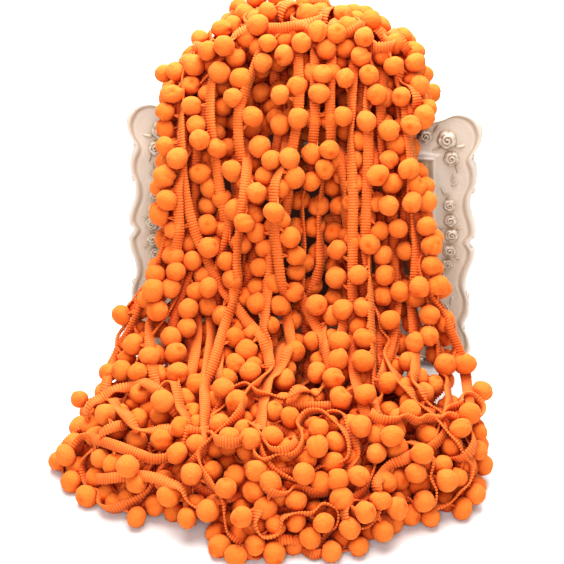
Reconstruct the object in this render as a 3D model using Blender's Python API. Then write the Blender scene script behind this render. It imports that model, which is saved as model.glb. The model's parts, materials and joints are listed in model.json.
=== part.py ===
"""Pompom fringe trim, hung as a loose hank over the top of an easel picture frame.

The trim is one long ribbed braid with a pompom on a short yarn loop every 18 mm along one edge.
Metres, +Z up. +X runs along the frame's width and -Y is the front. The origin is the middle of
the frame's foot, on the surface that everything stands on.

trim_hank   the wound mass: falls in front of the frame, crest, short back falls and floor heap
braid_*     the outermost runs of the braid, lying on the hank
pompom_*    the pompoms of those runs, one ball each
frame_*     a plain resin picture frame: moulding, pane, backing board and easel strut
"""

import math

import bmesh
import bpy
from mathutils import Matrix, Vector
from mathutils.bvhtree import BVHTree

MM = 0.001

# Frame
FRAME_HEIGHT = 182 * MM
FRAME_THICK = 9 * MM
RIM_RAISE = 2 * MM
RIM_WIDTH = 5 * MM
LEAN = math.radians(14)
WINDOW = (160 * MM, 104 * MM)
WINDOW_DEEP = 3 * MM
FOOT_CUT = 2.6 * MM
BACKING = (176 * MM, 122 * MM, 3 * MM)
STRUT_WIDE = 38 * MM
STRUT_THICK = 3 * MM
STRUT_TOP_V = 104 * MM
STRUT_REACH = 104 * MM

# Trim
POMPOM_R = 7 * MM
BRAID_WIDE = 7.5 * MM
BRAID_THICK = 1.2 * MM
PITCH = 18 * MM
HANGER = 3.4 * MM
GAP = 0.3 * MM
FRAME_CLEAR = 2 * MM

# Hank
STRAND_R = 12.5 * MM
LAYER_STEP = 19 * MM
VOXEL = 4 * MM
HANK_TRIANGLES = 5200

# One quarter of the frame's scalloped outline from the middle of its side to the middle of its top:
# u across and v up from the frame's centre, in mm.
OUTLINE_QUARTER = (
    (116.0, 0.0), (119.5, 6.5), (118.5, 14.0), (115.2, 24.0), (115.0, 33.0), (118.2, 43.0),
    (117.6, 52.0), (114.8, 60.0), (119.0, 69.0), (120.0, 78.0), (114.5, 87.0), (104.0, 90.0),
    (94.0, 86.0), (85.0, 84.5), (70.0, 90.0), (54.0, 86.0), (36.0, 90.0), (22.0, 87.0), (0.0, 91.0),
)
OUTLINE_STEPS = 4

# Strands of the hank that cross the frame's top: where each lies behind, on the crest, halfway
# down the front and at its foot, in mm.
FALLS = (
    # x_back, x_crest, x_mid, x_foot, y_foot, z_crest
    (-76, -77, -86, -106, -78, 192),
    (-62, -62, -70, -88, -112, 198),
    (-46, -46, -49, -58, -128, 209),
    (-28, -29, -32, -38, -118, 215),
    (-13, -13, -14, -18, -108, 218),
    (6, 5, 3, 4, -112, 218),
    (22, 20, 18, 20, -104, 216),
    (38, 36, 34, 36, -112, 210),
    (54, 51, 51, 56, -106, 203),
    (66, 65, 69, 80, -100, 197),
    (76, 78, 86, 104, -76, 191),
)

# How an outer strand runs from behind the frame to the heap: y and height in mm, where a height
# below zero is measured down from the strand's own crest.
FALL_PROFILE = (
    # place, y, z
    ("back", 76, 112),
    ("back", 82, 155),
    ("back", 75, -18),
    ("crest", 46, 0),
    ("crest", 12, -16),
    ("mid", -14, 150),
    ("mid", -36, 104),
    ("foot", -62, 66),
)
FOOT_HEIGHT = 34

# Loops of the heap on the surface, in mm: centre, half sizes, height and tilt of the loop.
HEAP_LOOPS = (
    # x, y, half_x, half_y, z, rise
    (-88, -112, 32, 52, 13, 0),
    (-72, -112, 36, 46, 33, 6),
    (-2, -150, 44, 48, 13, 0),
    (0, -128, 50, 48, 35, 8),
    (80, -112, 32, 52, 13, 0),
    (70, -110, 38, 46, 35, 6),
    (-42, -140, 40, 42, 24, 4),
    (42, -140, 40, 42, 24, 4),
    (-60, -122, 22, 20, 43, 4),
    (2, -152, 24, 22, 42, 5),
    (58, -118, 22, 20, 45, 4),
    (-14, -104, 20, 18, 51, 5),
)

# Solid inside of the heap, in mm: centre and half sizes.
HEAP_CORES = (
    # x, y, z, half_x, half_y, half_z
    (0, -85, 14, 112, 78, 34),
    (-84, -110, 12, 36, 52, 24),
    (80, -110, 12, 36, 52, 24),
    (0, -146, 12, 46, 50, 26),
)

# Section of the solid inside of the hank across the frame, y and z in mm. The frame's slot is cut later.
CORE_SECTION = (
    (26, 124), (76, 124), (80, 155), (72, 184), (46, 198), (14, 184), (-14, 150), (-36, 104),
    (-62, 66), (-100, 34), (-100, -6), (-4, -6),
)
CORE_HALF_WIDE = 80 * MM

# The outermost runs of braid. A "front" run is given as x and z and lies on the hank as seen from
# the front, a "back" run as seen from behind, and a "top" run as x and y seen from above. Side is
# which side of the run its pompoms hang, +1 for the left of its direction. All in mm.
RUNS = (
    # name, seen from, side, first pompom, pompoms, points
    ("left_fall", "front", -1, 6, 5, ((-75, 192), (-78, 150), (-70, 118), (-52, 92), (-30, 70))),
    ("centre_fall", "front", -1, 12, 5, ((34, 204), (33, 160), (33, 120), (33, 85), (36, 62))),
    ("right_fall", "front", 1, 4, 5, ((48, 200), (46, 150), (46, 120), (53, 90), (62, 66))),
    ("left_skirt", "top", -1, 8, 3, ((-92, -60), (-101, -84), (-107, -110))),
    ("right_skirt", "top", 1, 8, 3, ((88, -58), (97, -84), (103, -110))),
    ("heap_right", "top", 1, 6, 3, ((52, -100), (74, -120), (90, -142), (82, -160))),
    ("heap_left", "top", -1, 8, 3, ((-108, -134), (-88, -156), (-60, -152))),
    ("heap_centre", "top", -1, 6, 3, ((-8, -74), (-24, -100), (-44, -122), (-46, -150))),
    ("heap_front", "top", -1, 8, 3, ((-26, -189), (-2, -197), (22, -190))),
    ("back_left", "back", 1, 8, 3, ((-44, 196), (-46, 160), (-42, 128))),
    ("crest", "top", 1, 8, 3, ((-8, 66), (-12, 40), (-18, 12))),
)
FRONT_Y = -400 * MM
ABOVE_Z = 500 * MM
DROP = 22 * MM

# Pompoms resting on the surface round the heap: where each comes from and what it moves towards, in mm.
RIM_POMPOMS = (
    # x, y, aim_x, aim_y
    (-165, -104, -88, -104),
    (-150, -160, -88, -120),
    (-86, -210, -84, -120),
    (12, -240, 2, -150),
    (94, -200, 84, -120),
    (152, -150, 80, -116),
)

# Colours as they look in a plain view.
ORANGE = (0.86, 0.20, 0.02)
DEEP_ORANGE = (0.70, 0.13, 0.01)
RESIN_WHITE = (0.78, 0.72, 0.66)
PANE_GREY = (0.35, 0.30, 0.28)
BOARD_BROWN = (0.22, 0.15, 0.10)


def clear_scene():
    """Removes every object of the scene."""
    for obj in list(bpy.data.objects):
        bpy.data.objects.remove(obj, do_unlink=True)


def make_material(name, colour, roughness, metallic=0.0):
    """A Principled material of one colour."""
    material = bpy.data.materials.new(name)
    material.use_nodes = True
    shader = material.node_tree.nodes["Principled BSDF"]
    shader.inputs["Base Color"].default_value = (*colour, 1.0)
    shader.inputs["Roughness"].default_value = roughness
    shader.inputs["Metallic"].default_value = metallic
    material.diffuse_color = (*colour, 1.0)
    return material


def add_object(name, bm, material, smooth=False):
    """Turns a bmesh into an object of the scene, with its faces pointing out."""
    bmesh.ops.recalc_face_normals(bm, faces=bm.faces)
    mesh = bpy.data.meshes.new(name)
    bm.to_mesh(mesh)
    bm.free()
    if smooth:
        mesh.shade_smooth()
    obj = bpy.data.objects.new(name, mesh)
    bpy.context.scene.collection.objects.link(obj)
    if material:
        mesh.materials.append(material)
    return obj


def make_cutter(name, bm):
    """A helper object that only a Boolean reads."""
    cutter = add_object(name, bm, None)
    cutter.hide_render = True
    cutter.display_type = "WIRE"
    return cutter


def cut(obj, cutter):
    """Cuts the helper's shape from the object."""
    modifier = obj.modifiers.new(cutter.name, "BOOLEAN")
    modifier.operation = "DIFFERENCE"
    modifier.solver = "EXACT"
    modifier.object = cutter


def catmull_rom(points, steps, closed=False):
    """Points of a smooth curve through the given ones, with this many steps from each to the next."""
    count = len(points)
    if closed:
        ring = [points[-1], *points, points[0], points[1]]
        spans = count
    else:
        ring = [points[0] * 2 - points[1], *points, points[-1] * 2 - points[-2]]
        spans = count - 1
    curve = []
    for i in range(spans):
        a, b, c, d = ring[i : i + 4]
        for k in range(steps):
            t = k / steps
            curve.append(
                0.5 * (2 * b + (c - a) * t + (2 * a - 5 * b + 4 * c - d) * t**2 + (3 * b - a - 3 * c + d) * t**3)
            )
    if not closed:
        curve.append(points[-1].copy())
    return curve


def spaced(curve, step):
    """The same curve as points this far apart, both ends kept."""
    lengths = [0.0]
    for a, b in zip(curve, curve[1:]):
        lengths.append(lengths[-1] + (b - a).length)
    count = max(2, round(lengths[-1] / step))
    points = []
    at = 0
    for k in range(count + 1):
        want = lengths[-1] * k / count
        while at < len(curve) - 2 and lengths[at + 1] < want:
            at += 1
        share = (want - lengths[at]) / max(lengths[at + 1] - lengths[at], 1e-9)
        points.append(curve[at].lerp(curve[at + 1], min(share, 1.0)))
    return points


def directions(points, closed=False):
    """The unit direction of a line of points at each of them."""
    last = len(points) - 1
    found = []
    for i in range(len(points)):
        before = points[i - 1] if closed or i else points[0]
        after = points[(i + 1) % len(points)] if closed or i < last else points[last]
        found.append((after - before).normalized())
    return found


def sweep(bm, points, sides, ups, section, closed=False):
    """Sweeps a closed section along points. A section point (s, n) lies at point + s * side + n * up."""
    rings = [
        [bm.verts.new(p + side * s + up * n) for s, n in section]
        for p, side, up in zip(points, sides, ups)
    ]
    corners = len(section)
    pairs = list(zip(rings, rings[1:]))
    if closed:
        pairs.append((rings[-1], rings[0]))
    for a, b in pairs:
        for k in range(corners):
            j = (k + 1) % corners
            bm.faces.new((a[k], a[j], b[j], b[k]))
    if not closed:
        bm.faces.new(rings[0])
        bm.faces.new(list(reversed(rings[-1])))


def circle_section(radius, corners=8):
    """A round section for sweep."""
    turns = [2 * math.pi * k / corners for k in range(corners)]
    return [(radius * math.cos(a), radius * math.sin(a)) for a in turns]


def add_tube(bm, points, radius, closed=False):
    """A round tube along points."""
    ahead = directions(points, closed)
    sides = []
    up = Vector((0.31, 0.22, 0.93)).normalized()
    for d in ahead:
        side = d.cross(up)
        if side.length < 0.2:
            side = d.cross(Vector((0, 1, 0)))
        sides.append(side.normalized())
    ups = [side.cross(d) for side, d in zip(sides, ahead)]
    sweep(bm, points, sides, ups, circle_section(radius), closed)


def frame_place():
    """The matrix from the frame's own plane (u across, v up from its foot, w forward) to the world."""
    up = Vector((0, math.sin(LEAN), math.cos(LEAN)))
    out = Vector((0, -math.cos(LEAN), math.sin(LEAN)))
    foot_middle = out * FRAME_THICK / 2 + up * FOOT_CUT
    place = Matrix.Identity(4)
    place.col[1][:3] = up
    place.col[2][:3] = out
    place.col[3][:3] = -foot_middle
    return place


def box_mesh(low, high):
    """A box between two corners."""
    bm = bmesh.new()
    bmesh.ops.create_cube(bm, size=1.0)
    low, high = Vector(low), Vector(high)
    size = high - low
    bmesh.ops.scale(bm, vec=size, verts=bm.verts)
    bmesh.ops.translate(bm, vec=(low + high) / 2, verts=bm.verts)
    return bm


def frame_outline():
    """The whole scalloped outline, anticlockwise in the frame's plane, with v from the foot."""
    quarter = [Vector((u * MM, v * MM, 0)) for u, v in OUTLINE_QUARTER]
    top_left = [Vector((-p.x, p.y, 0)) for p in reversed(quarter[:-1])]
    upper = quarter + top_left
    lower = [Vector((p.x, -p.y, 0)) for p in reversed(upper[1:-1])]
    ring = catmull_rom(upper + lower, OUTLINE_STEPS, closed=True)
    return [p + Vector((0, FRAME_HEIGHT / 2, 0)) for p in ring]


def make_moulding(place, floor_cutter):
    """The frame's front: a scalloped plate with a raised rim and a shallow seat for the pane."""
    bm = bmesh.new()
    base = [bm.verts.new(p) for p in frame_outline()]
    face = bm.faces.new(base)
    face.normal_update()
    if face.normal.z < 0:
        face.normal_flip()
    made = bmesh.ops.extrude_face_region(bm, geom=[face])
    lifted = [v for v in made["geom"] if isinstance(v, bmesh.types.BMVert)]
    bmesh.ops.translate(bm, vec=(0, 0, FRAME_THICK), verts=lifted)
    top = next(f for f in made["geom"] if isinstance(f, bmesh.types.BMFace))
    bmesh.ops.inset_region(bm, faces=[top], thickness=RIM_WIDTH * 0.3, depth=RIM_RAISE)
    bmesh.ops.inset_region(bm, faces=[top], thickness=RIM_WIDTH * 0.4, depth=0.0)
    bmesh.ops.inset_region(bm, faces=[top], thickness=RIM_WIDTH * 0.3, depth=-RIM_RAISE)
    moulding = add_object("frame_moulding", bm, materials["resin"])
    moulding.matrix_world = place
    half_u, half_v = WINDOW[0] / 2, WINDOW[1] / 2
    middle = FRAME_HEIGHT / 2
    seat = make_cutter(
        "window_cutter",
        box_mesh(
            (-half_u, middle - half_v, FRAME_THICK - WINDOW_DEEP),
            (half_u, middle + half_v, FRAME_THICK + 4 * RIM_RAISE),
        ),
    )
    seat.matrix_world = place
    cut(moulding, seat)
    cut(moulding, floor_cutter)
    return moulding


def make_pane(place):
    """The glazed picture pane in its seat."""
    half_u, half_v = WINDOW[0] / 2 - GAP, WINDOW[1] / 2 - GAP
    middle = FRAME_HEIGHT / 2
    back = FRAME_THICK - WINDOW_DEEP + GAP
    bm = box_mesh((-half_u, middle - half_v, back), (half_u, middle + half_v, back + 2 * MM))
    pane = add_object("frame_pane", bm, materials["pane"])
    pane.matrix_world = place


def make_backing(place):
    """The board that closes the frame's back."""
    wide, high, thick = BACKING
    middle = FRAME_HEIGHT / 2
    bm = box_mesh((-wide / 2, middle - high / 2, -GAP - thick), (wide / 2, middle + high / 2, -GAP))
    backing = add_object("frame_backing", bm, materials["board"])
    backing.matrix_world = place


def strut_line(place):
    """The strut's upper and lower ends, on its front face, as world points at x = 0."""
    behind = -(GAP + BACKING[2] + GAP)
    upper = place @ Vector((0, STRUT_TOP_V, behind))
    lower = Vector((0, STRUT_REACH, -4 * MM))
    return upper, lower


def make_strut(place, floor_cutter):
    """The easel strut, from the backing down to the surface, a little wider at its foot."""
    upper, lower = strut_line(place)
    along = (lower - upper).normalized()
    behind = Vector((1, 0, 0)).cross(along)
    if behind.y < 0:
        behind = -behind
    bm = bmesh.new()
    rings = []
    for end, half in ((upper, STRUT_WIDE * 0.32), (lower, STRUT_WIDE / 2)):
        corners = ((-half, 0), (half, 0), (half, STRUT_THICK), (-half, STRUT_THICK))
        rings.append([bm.verts.new(end + Vector((x, 0, 0)) + behind * n) for x, n in corners])
    for k in range(4):
        j = (k + 1) % 4
        bm.faces.new((rings[0][k], rings[0][j], rings[1][j], rings[1][k]))
    bm.faces.new(rings[0])
    bm.faces.new(list(reversed(rings[1])))
    strut = add_object("frame_strut", bm, materials["board"])
    cut(strut, floor_cutter)


def fall_points(row, layer):
    """The route of one strand over the frame. Layer 0 is the outer one and layer 1 lies inside it."""
    x_back, x_crest, x_mid, x_foot, y_foot, z_crest = row
    across = {"back": x_back, "crest": x_crest, "mid": x_mid, "foot": (x_mid + x_foot) / 2}
    inward = LAYER_STEP / MM * layer
    points = []
    for place, y, z in FALL_PROFILE:
        height = z if z > 0 else z_crest + z - inward
        shift = inward if y < 30 else -inward * (place == "back")
        points.append(Vector((across[place], y + shift, height)) * MM)
    points.append(Vector((x_foot, y_foot + inward, FOOT_HEIGHT)) * MM)
    return points


def loop_points(row):
    """One loop of the heap, leaning so that it rises towards the back."""
    x, y, half_x, half_y, z, rise = row
    turns = [2 * math.pi * k / 10 for k in range(10)]
    return [
        Vector((x + half_x * math.cos(a), y + half_y * math.sin(a), z + rise * math.sin(a))) * MM
        for a in turns
    ]


def make_hank(floor_cutter, frame_cutter):
    """The wound mass: strands, heap loops and what they enclose, made one surface by a voxel remesh."""
    bm = bmesh.new()
    for row in FALLS:
        for layer in (0, 1):
            route = catmull_rom(fall_points(row, layer), 4)
            add_tube(bm, spaced(route, STRAND_R * 0.6), STRAND_R)
    for row in HEAP_LOOPS:
        add_tube(bm, catmull_rom(loop_points(row), 3, closed=True), STRAND_R, closed=True)
    for x, y, z, half_x, half_y, half_z in HEAP_CORES:
        size = Matrix.Diagonal((half_x * MM, half_y * MM, half_z * MM, 1))
        place = Matrix.Translation(Vector((x, y, z)) * MM)
        bmesh.ops.create_icosphere(bm, subdivisions=3, radius=1.0, matrix=place @ size)
    section = [Vector((0, y, z)) * MM for y, z in CORE_SECTION]
    ends = [
        [bm.verts.new(p + Vector((side * CORE_HALF_WIDE, 0, 0))) for p in section] for side in (-1, 1)
    ]
    for k in range(len(section)):
        j = (k + 1) % len(section)
        bm.faces.new((ends[0][k], ends[0][j], ends[1][j], ends[1][k]))
    bm.faces.new(ends[0])
    bm.faces.new(list(reversed(ends[1])))
    hank = add_object("trim_hank", bm, materials["braid"], smooth=True)

    remesh = hank.modifiers.new("one_surface", "REMESH")
    remesh.mode = "VOXEL"
    remesh.voxel_size = VOXEL
    smooth = hank.modifiers.new("soften", "SMOOTH")
    smooth.iterations = 2
    before = evaluated_triangles(hank)
    thin = hank.modifiers.new("thin", "DECIMATE")
    thin.ratio = HANK_TRIANGLES / before
    cut(hank, floor_cutter)
    cut(hank, frame_cutter)
    return hank


def evaluated_triangles(obj):
    """How many triangles the object has with its modifiers."""
    evaluated = obj.evaluated_get(bpy.context.evaluated_depsgraph_get())
    mesh = evaluated.to_mesh()
    mesh.calc_loop_triangles()
    count = len(mesh.loop_triangles)
    evaluated.to_mesh_clear()
    return count


def surface_of(obj):
    """A search tree of the object's surface, with its modifiers, in the world."""
    bpy.context.view_layer.update()
    evaluated = obj.evaluated_get(bpy.context.evaluated_depsgraph_get())
    mesh = evaluated.to_mesh()
    points = [obj.matrix_world @ v.co for v in mesh.vertices]
    faces = [tuple(p.vertices) for p in mesh.polygons]
    evaluated.to_mesh_clear()
    return BVHTree.FromPolygons(points, faces)


def cast(surface, seen_from, point):
    """Where a run's point, given as seen from one side, meets the hank, and the way out there."""
    across, other = point[0] * MM, point[1] * MM
    start, ahead = {
        "front": (Vector((across, FRONT_Y, other)), Vector((0, 1, 0))),
        "back": (Vector((across, -FRONT_Y, other)), Vector((0, -1, 0))),
        "top": (Vector((across, other, ABOVE_Z)), Vector((0, 0, -1))),
    }[seen_from]
    hit, normal, _, _ = surface.ray_cast(start, ahead)
    if hit is None:
        raise ValueError(f"a {seen_from} run's point {point} misses the hank")
    if normal.dot(ahead) > 0:
        normal = -normal
    return hit, (normal - ahead).normalized()


def averaged(values, reach):
    """Each value as the mean of those up to this many places away."""
    found = []
    for i in range(len(values)):
        near = values[max(0, i - reach) : i + reach + 1]
        found.append(sum(near, Vector((0, 0, 0))) / len(near))
    return found


def strip_faces(points, sides, ups, grow=0.0):
    """The braid's flat section, swept along its run, this much larger on every side."""
    half, thick = BRAID_WIDE / 2 + grow, BRAID_THICK / 2 + grow
    bm = bmesh.new()
    sweep(bm, points, sides, ups, ((-half, -thick), (half, -thick), (half, thick), (-half, thick)))
    return bm


def touches(points, sides, ups, surface):
    """Whether a run of braid, with the gap it needs all round, meets the surface."""
    grown = strip_faces(points, sides, ups, GAP)
    meets = BVHTree.FromBMesh(grown).overlap(surface)
    grown.free()
    return bool(meets)


def make_run(surface, name, seen_from, points):
    """One run of braid, lying as close to the hank as its whole length allows."""
    flat = [Vector((a, b, 0)) for a, b in points]
    line = [cast(surface, seen_from, (p.x, p.y)) for p in spaced(catmull_rom(flat, 6), 5)]
    centres = averaged([hit for hit, _ in line], 2)
    ups = [up.normalized() for up in averaged([up for _, up in line], 3)]
    ahead = directions(centres)
    sides = [up.cross(d).normalized() for up, d in zip(ups, ahead)]
    ups = [d.cross(side) for side, d in zip(sides, ahead)]
    for lift in range(40):
        lifted = [c + up * (GAP + BRAID_THICK / 2 + lift * 0.3 * MM) for c, up in zip(centres, ups)]
        if not touches(lifted, sides, ups, surface):
            break
    else:
        raise ValueError(f"{name} doesn't clear the hank")
    braid = add_object("braid_" + name, strip_faces(lifted, sides, ups), materials["braid"])
    return surface_of(braid), lifted, sides, ups


def run_stations(lifted, sides, ups, first, count):
    """Where the pompoms leave the run: point, side and up every pitch, from the first distance."""
    stations = []
    gone = 0.0
    want = first * MM
    for i in range(1, len(lifted)):
        step = (lifted[i] - lifted[i - 1]).length
        while len(stations) < count and gone + step >= want:
            share = (want - gone) / step
            stations.append((lifted[i - 1].lerp(lifted[i], share), sides[i], ups[i]))
            want += PITCH
        gone += step
    return stations


def clear_of(centre, surface):
    """Moves a ball's centre out until the ball lies the gap off the surface, if it was nearer."""
    near, _, _, distance = surface.find_nearest(centre)
    want = POMPOM_R + GAP
    if distance >= want:
        return centre
    return near + (centre - near) * (want / distance)


def seat_pompom(start, way, surfaces, others):
    """Brings a ball in along its way until it meets something, then settles it against the hank."""
    centre = start.copy()
    step = 0.4 * MM
    for _ in range(200):
        if any(surface.find_nearest(centre)[3] < POMPOM_R + GAP + step for surface in surfaces):
            break
        centre += way * step
    for _ in range(300):
        before = centre.copy()
        near, _, _, distance = surfaces[0].find_nearest(centre)
        slack = distance - POMPOM_R - GAP
        if slack > 0:
            centre += (near - centre).normalized() * min(slack, step)
        for surface in surfaces:
            centre = clear_of(centre, surface)
        for other in others:
            between = centre - other
            if between.length < 2 * POMPOM_R + GAP:
                centre += between.normalized() * (2 * POMPOM_R + GAP - between.length)
        centre.z = max(centre.z, POMPOM_R)
        if (centre - before).length < 1e-6:
            break
    return centre


def make_pompom(name, centre):
    """One pompom as a plain ball."""
    bm = bmesh.new()
    bmesh.ops.create_icosphere(bm, subdivisions=2, radius=POMPOM_R)
    ball = add_object(name, bm, materials["pompom"], smooth=True)
    ball.location = centre


def make_trim(floor_cutter, frame_cutter):
    """The hank, then its outermost runs, then their pompoms."""
    hank = make_hank(floor_cutter, frame_cutter)
    hank_surface = surface_of(hank)
    runs = []
    for name, seen_from, side, first, count, points in RUNS:
        surface, lifted, sides, ups = make_run(hank_surface, name, seen_from, points)
        runs.append((name, side, surface, run_stations(lifted, sides, ups, first, count)))
    surfaces = [hank_surface] + [surface for _, _, surface, _ in runs]
    placed = []
    reach = BRAID_WIDE / 2 + HANGER + POMPOM_R
    for name, side, _, stations in runs:
        for k, (point, across, up) in enumerate(stations):
            start = point + across * side * reach + up * DROP
            placed.append(seat_pompom(start, -up, surfaces, placed))
            make_pompom(f"pompom_{name}_{k + 1}", placed[-1])
    for k, (x, y, aim_x, aim_y) in enumerate(RIM_POMPOMS):
        start = Vector((x * MM, y * MM, POMPOM_R))
        way = (Vector((aim_x * MM, aim_y * MM, POMPOM_R)) - start).normalized()
        placed.append(seat_pompom(start, way, surfaces, placed))
        make_pompom(f"pompom_rim_{k + 1}", placed[-1])


clear_scene()
materials = {
    "braid": make_material("braid", DEEP_ORANGE, 0.9),
    "pompom": make_material("pompom", ORANGE, 0.95),
    "resin": make_material("resin", RESIN_WHITE, 0.35),
    "pane": make_material("pane", PANE_GREY, 0.1),
    "board": make_material("board", BOARD_BROWN, 0.8),
}
PLACE = frame_place()
FLOOR_CUTTER = make_cutter("floor_cutter", box_mesh((-0.5, -0.5, -0.2), (0.5, 0.5, 0.0)))
SLOT = box_mesh(
    (-0.2, -0.05, -(3 * GAP + BACKING[2] + FRAME_CLEAR)),
    (0.2, FRAME_HEIGHT + FRAME_CLEAR, FRAME_THICK + RIM_RAISE + FRAME_CLEAR),
)
FRAME_CUTTER = make_cutter("frame_cutter", SLOT)
FRAME_CUTTER.matrix_world = PLACE

make_moulding(PLACE, FLOOR_CUTTER)
make_pane(PLACE)
make_backing(PLACE)
make_strut(PLACE, FLOOR_CUTTER)
make_trim(FLOOR_CUTTER, FRAME_CUTTER)
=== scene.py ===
"""Pompom fringe trim in a loose hank over an easel picture frame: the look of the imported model.

One continuous length of trim is routed over the frame and through the heap, settled by a small
position-based simulation, and then meshed: a ribbed braid with scalloped edges, short yarn
hangers, and cut-pile pompoms. Lengths in the tables are in millimetres unless they say otherwise.
"""

import json
import math
from itertools import product

import bmesh
import bpy
import numpy as np
from mathutils import Matrix, Vector
from mathutils.bvhtree import BVHTree


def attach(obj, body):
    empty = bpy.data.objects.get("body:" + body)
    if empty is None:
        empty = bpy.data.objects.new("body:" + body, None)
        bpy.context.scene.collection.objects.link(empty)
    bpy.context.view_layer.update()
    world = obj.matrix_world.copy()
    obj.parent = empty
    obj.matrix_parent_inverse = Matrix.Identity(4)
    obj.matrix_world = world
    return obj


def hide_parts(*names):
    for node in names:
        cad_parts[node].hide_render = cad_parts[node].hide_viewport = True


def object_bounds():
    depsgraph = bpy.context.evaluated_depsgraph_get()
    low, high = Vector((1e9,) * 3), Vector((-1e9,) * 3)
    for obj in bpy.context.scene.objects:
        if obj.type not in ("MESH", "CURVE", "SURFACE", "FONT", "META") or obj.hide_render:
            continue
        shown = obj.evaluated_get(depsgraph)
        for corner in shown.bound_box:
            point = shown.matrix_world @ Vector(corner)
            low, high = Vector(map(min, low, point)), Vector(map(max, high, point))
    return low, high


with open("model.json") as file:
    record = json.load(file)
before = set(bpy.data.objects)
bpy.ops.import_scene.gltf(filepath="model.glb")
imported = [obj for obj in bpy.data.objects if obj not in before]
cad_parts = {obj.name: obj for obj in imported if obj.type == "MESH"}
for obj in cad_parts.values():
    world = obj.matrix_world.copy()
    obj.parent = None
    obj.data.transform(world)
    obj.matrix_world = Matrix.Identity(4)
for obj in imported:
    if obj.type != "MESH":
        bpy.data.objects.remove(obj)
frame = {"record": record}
CAD_BOX = [list(corner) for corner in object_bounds()]

MM = 0.001
RNG = np.random.default_rng(11)

# The camera, which also reads the routes that are given as seen by it.
CAMERA_AT = np.array([0.0625, -0.9389, 0.6267])
AZIMUTH, ELEVATION = math.radians(4.5), math.radians(31)
LENS_MM, SENSOR_MM, VIEW_PX = 102.9, 36.0, 564

# Soft studio light: discs of this size (m) and power (W), where they hang and what they face.
WORLD_STRENGTH = 0.11
LIGHTS = (
    # name, size, power, place, aim
    ("overhead", 0.8, 10.2, (-0.04, -0.14, 0.97), (0.0, -0.04, 0.12)),
    ("front", 1.0, 19.5, (0.05, -1.6, 1.05), (0.0, -0.05, 0.10)),
    ("top", 0.7, 13.0, (0.0, 0.50, 1.0), (0.0, 0.03, 0.20)),
    ("backdrop", 1.6, 40.0, (0.0, 0.55, 1.5), (0.0, 1.7, 0.6)),
)

# The leaning frame, as in the CAD: its height, back, front and half width, how much of its foot is
# cut off, the middle of its depth, and the ways up and out of it.
LEAN = math.radians(14)
FRAME_HIGH, FRAME_BACK, FRAME_FRONT, FRAME_HALF = 182.0, -7.0, 11.0, 120.0
FOOT_CUT, PLATE_MIDDLE = 2.6, 4.5
FRAME_UP = np.array([0, math.sin(LEAN), math.cos(LEAN)])
FRAME_OUT = np.array([0, -math.cos(LEAN), math.sin(LEAN)])

# One quarter of the moulding's scalloped outline, from the middle of its side to the middle of
# its top, across and up from the frame's centre, and the half sizes of its window.
OUTLINE_QUARTER = (
    (116.0, 0.0), (119.5, 6.5), (118.5, 14.0), (115.2, 24.0), (115.0, 33.0), (118.2, 43.0),
    (117.6, 52.0), (114.8, 60.0), (119.0, 69.0), (120.0, 78.0), (114.5, 87.0), (104.0, 90.0),
    (94.0, 86.0), (85.0, 84.5), (70.0, 90.0), (54.0, 86.0), (36.0, 90.0), (22.0, 87.0), (0.0, 91.0),
)
WINDOW_HALF = (80.0, 52.0)

# The moulding's relief: height over its back at a distance in from the outline, then at a
# distance out from the window. Glaze and shade is how much tan it takes there: glaze stain, and
# painted shade in its grooves. The field between the two rises a little and is hollowed out.
RIM_PROFILE = (
    # inward, height, glaze_and_shade
    (0.0, 0.0, 0.3), (0.0, 4.0, 0.3), (0.4, 6.4, 0.1), (1.2, 8.6, 0.0), (2.2, 9.9, 0.0),
    (3.2, 10.2, 0.0), (4.4, 9.5, 0.1), (5.4, 8.5, 0.5), (6.2, 8.1, 0.5), (7.4, 8.3, 0.1),
    (9.6, 7.9, 0.2),
)
COVE_PROFILE = (
    # outward, height, glaze_and_shade
    (11.5, 8.0, 0.2), (10.6, 8.8, 0.0), (9.6, 9.3, 0.0), (8.6, 9.0, 0.2), (7.6, 8.3, 0.5),
    (6.0, 7.7, 0.7), (4.4, 7.5, 0.7), (3.2, 7.8, 0.6), (2.6, 8.6, 0.2), (0.6, 8.8, 0.1),
    (0.0, 8.4, 0.4), (0.0, 6.0, 0.8),
)
FIELD_HIGH, FIELD_RISE, FIELD_HOLLOW, FIELD_GLAZE_AND_SHADE = 7.9, 0.1, 0.7, 0.15

# The ornaments' heights over the moulding's back, and the radius of the beads round its window.
RELIEF_FOOT, SCROLL_HIGH, BEAD_HIGH, BEAD_R = 7.0, 8.0, 8.7, 0.85

# Roses and leaves on one side of the moulding, which are mirrored to the other.
ROSES = (
    # across, up, radius
    (96.0, 70.5, 6.4), (81.5, 72.5, 5.0), (99.5, 58.0, 5.2), (99.8, 25.6, 4.3), (101.0, 15.2, 4.4),
    (102.3, 5.0, 4.8), (101.4, -6.0, 4.6), (100.2, -15.6, 3.8), (94.0, -76.0, 5.6),
    (104.5, -69.0, 4.6), (100.0, -54.0, 4.8),
)
LEAVES = (
    # across, up, angle, length
    (88.5, 78.0, 60, 8), (105.0, 66.5, 10, 8), (89.5, 64.0, 200, 7), (103.5, 51.0, -75, 7),
    (101.2, 45.0, -110, 7), (102.6, 40.5, 40, 6), (95.0, 35.5, 115, 8), (98.5, 32.5, 60, 6),
    (95.0, 10.0, 150, 5), (107.0, 10.0, 25, 5), (95.8, -1.0, 200, 5), (107.0, -11.0, -25, 5),
    (98.0, -21.5, -80, 7), (101.0, -28.0, -40, 6), (104.5, -41.5, 80, 8), (102.0, -46.5, 120, 7),
    (107.0, -60.0, -30, 8), (93.0, -62.0, 160, 7), (88.0, -84.0, -70, 8), (74.0, 70.0, 180, 7),
    (78.0, -72.0, 170, 7),
)
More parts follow.
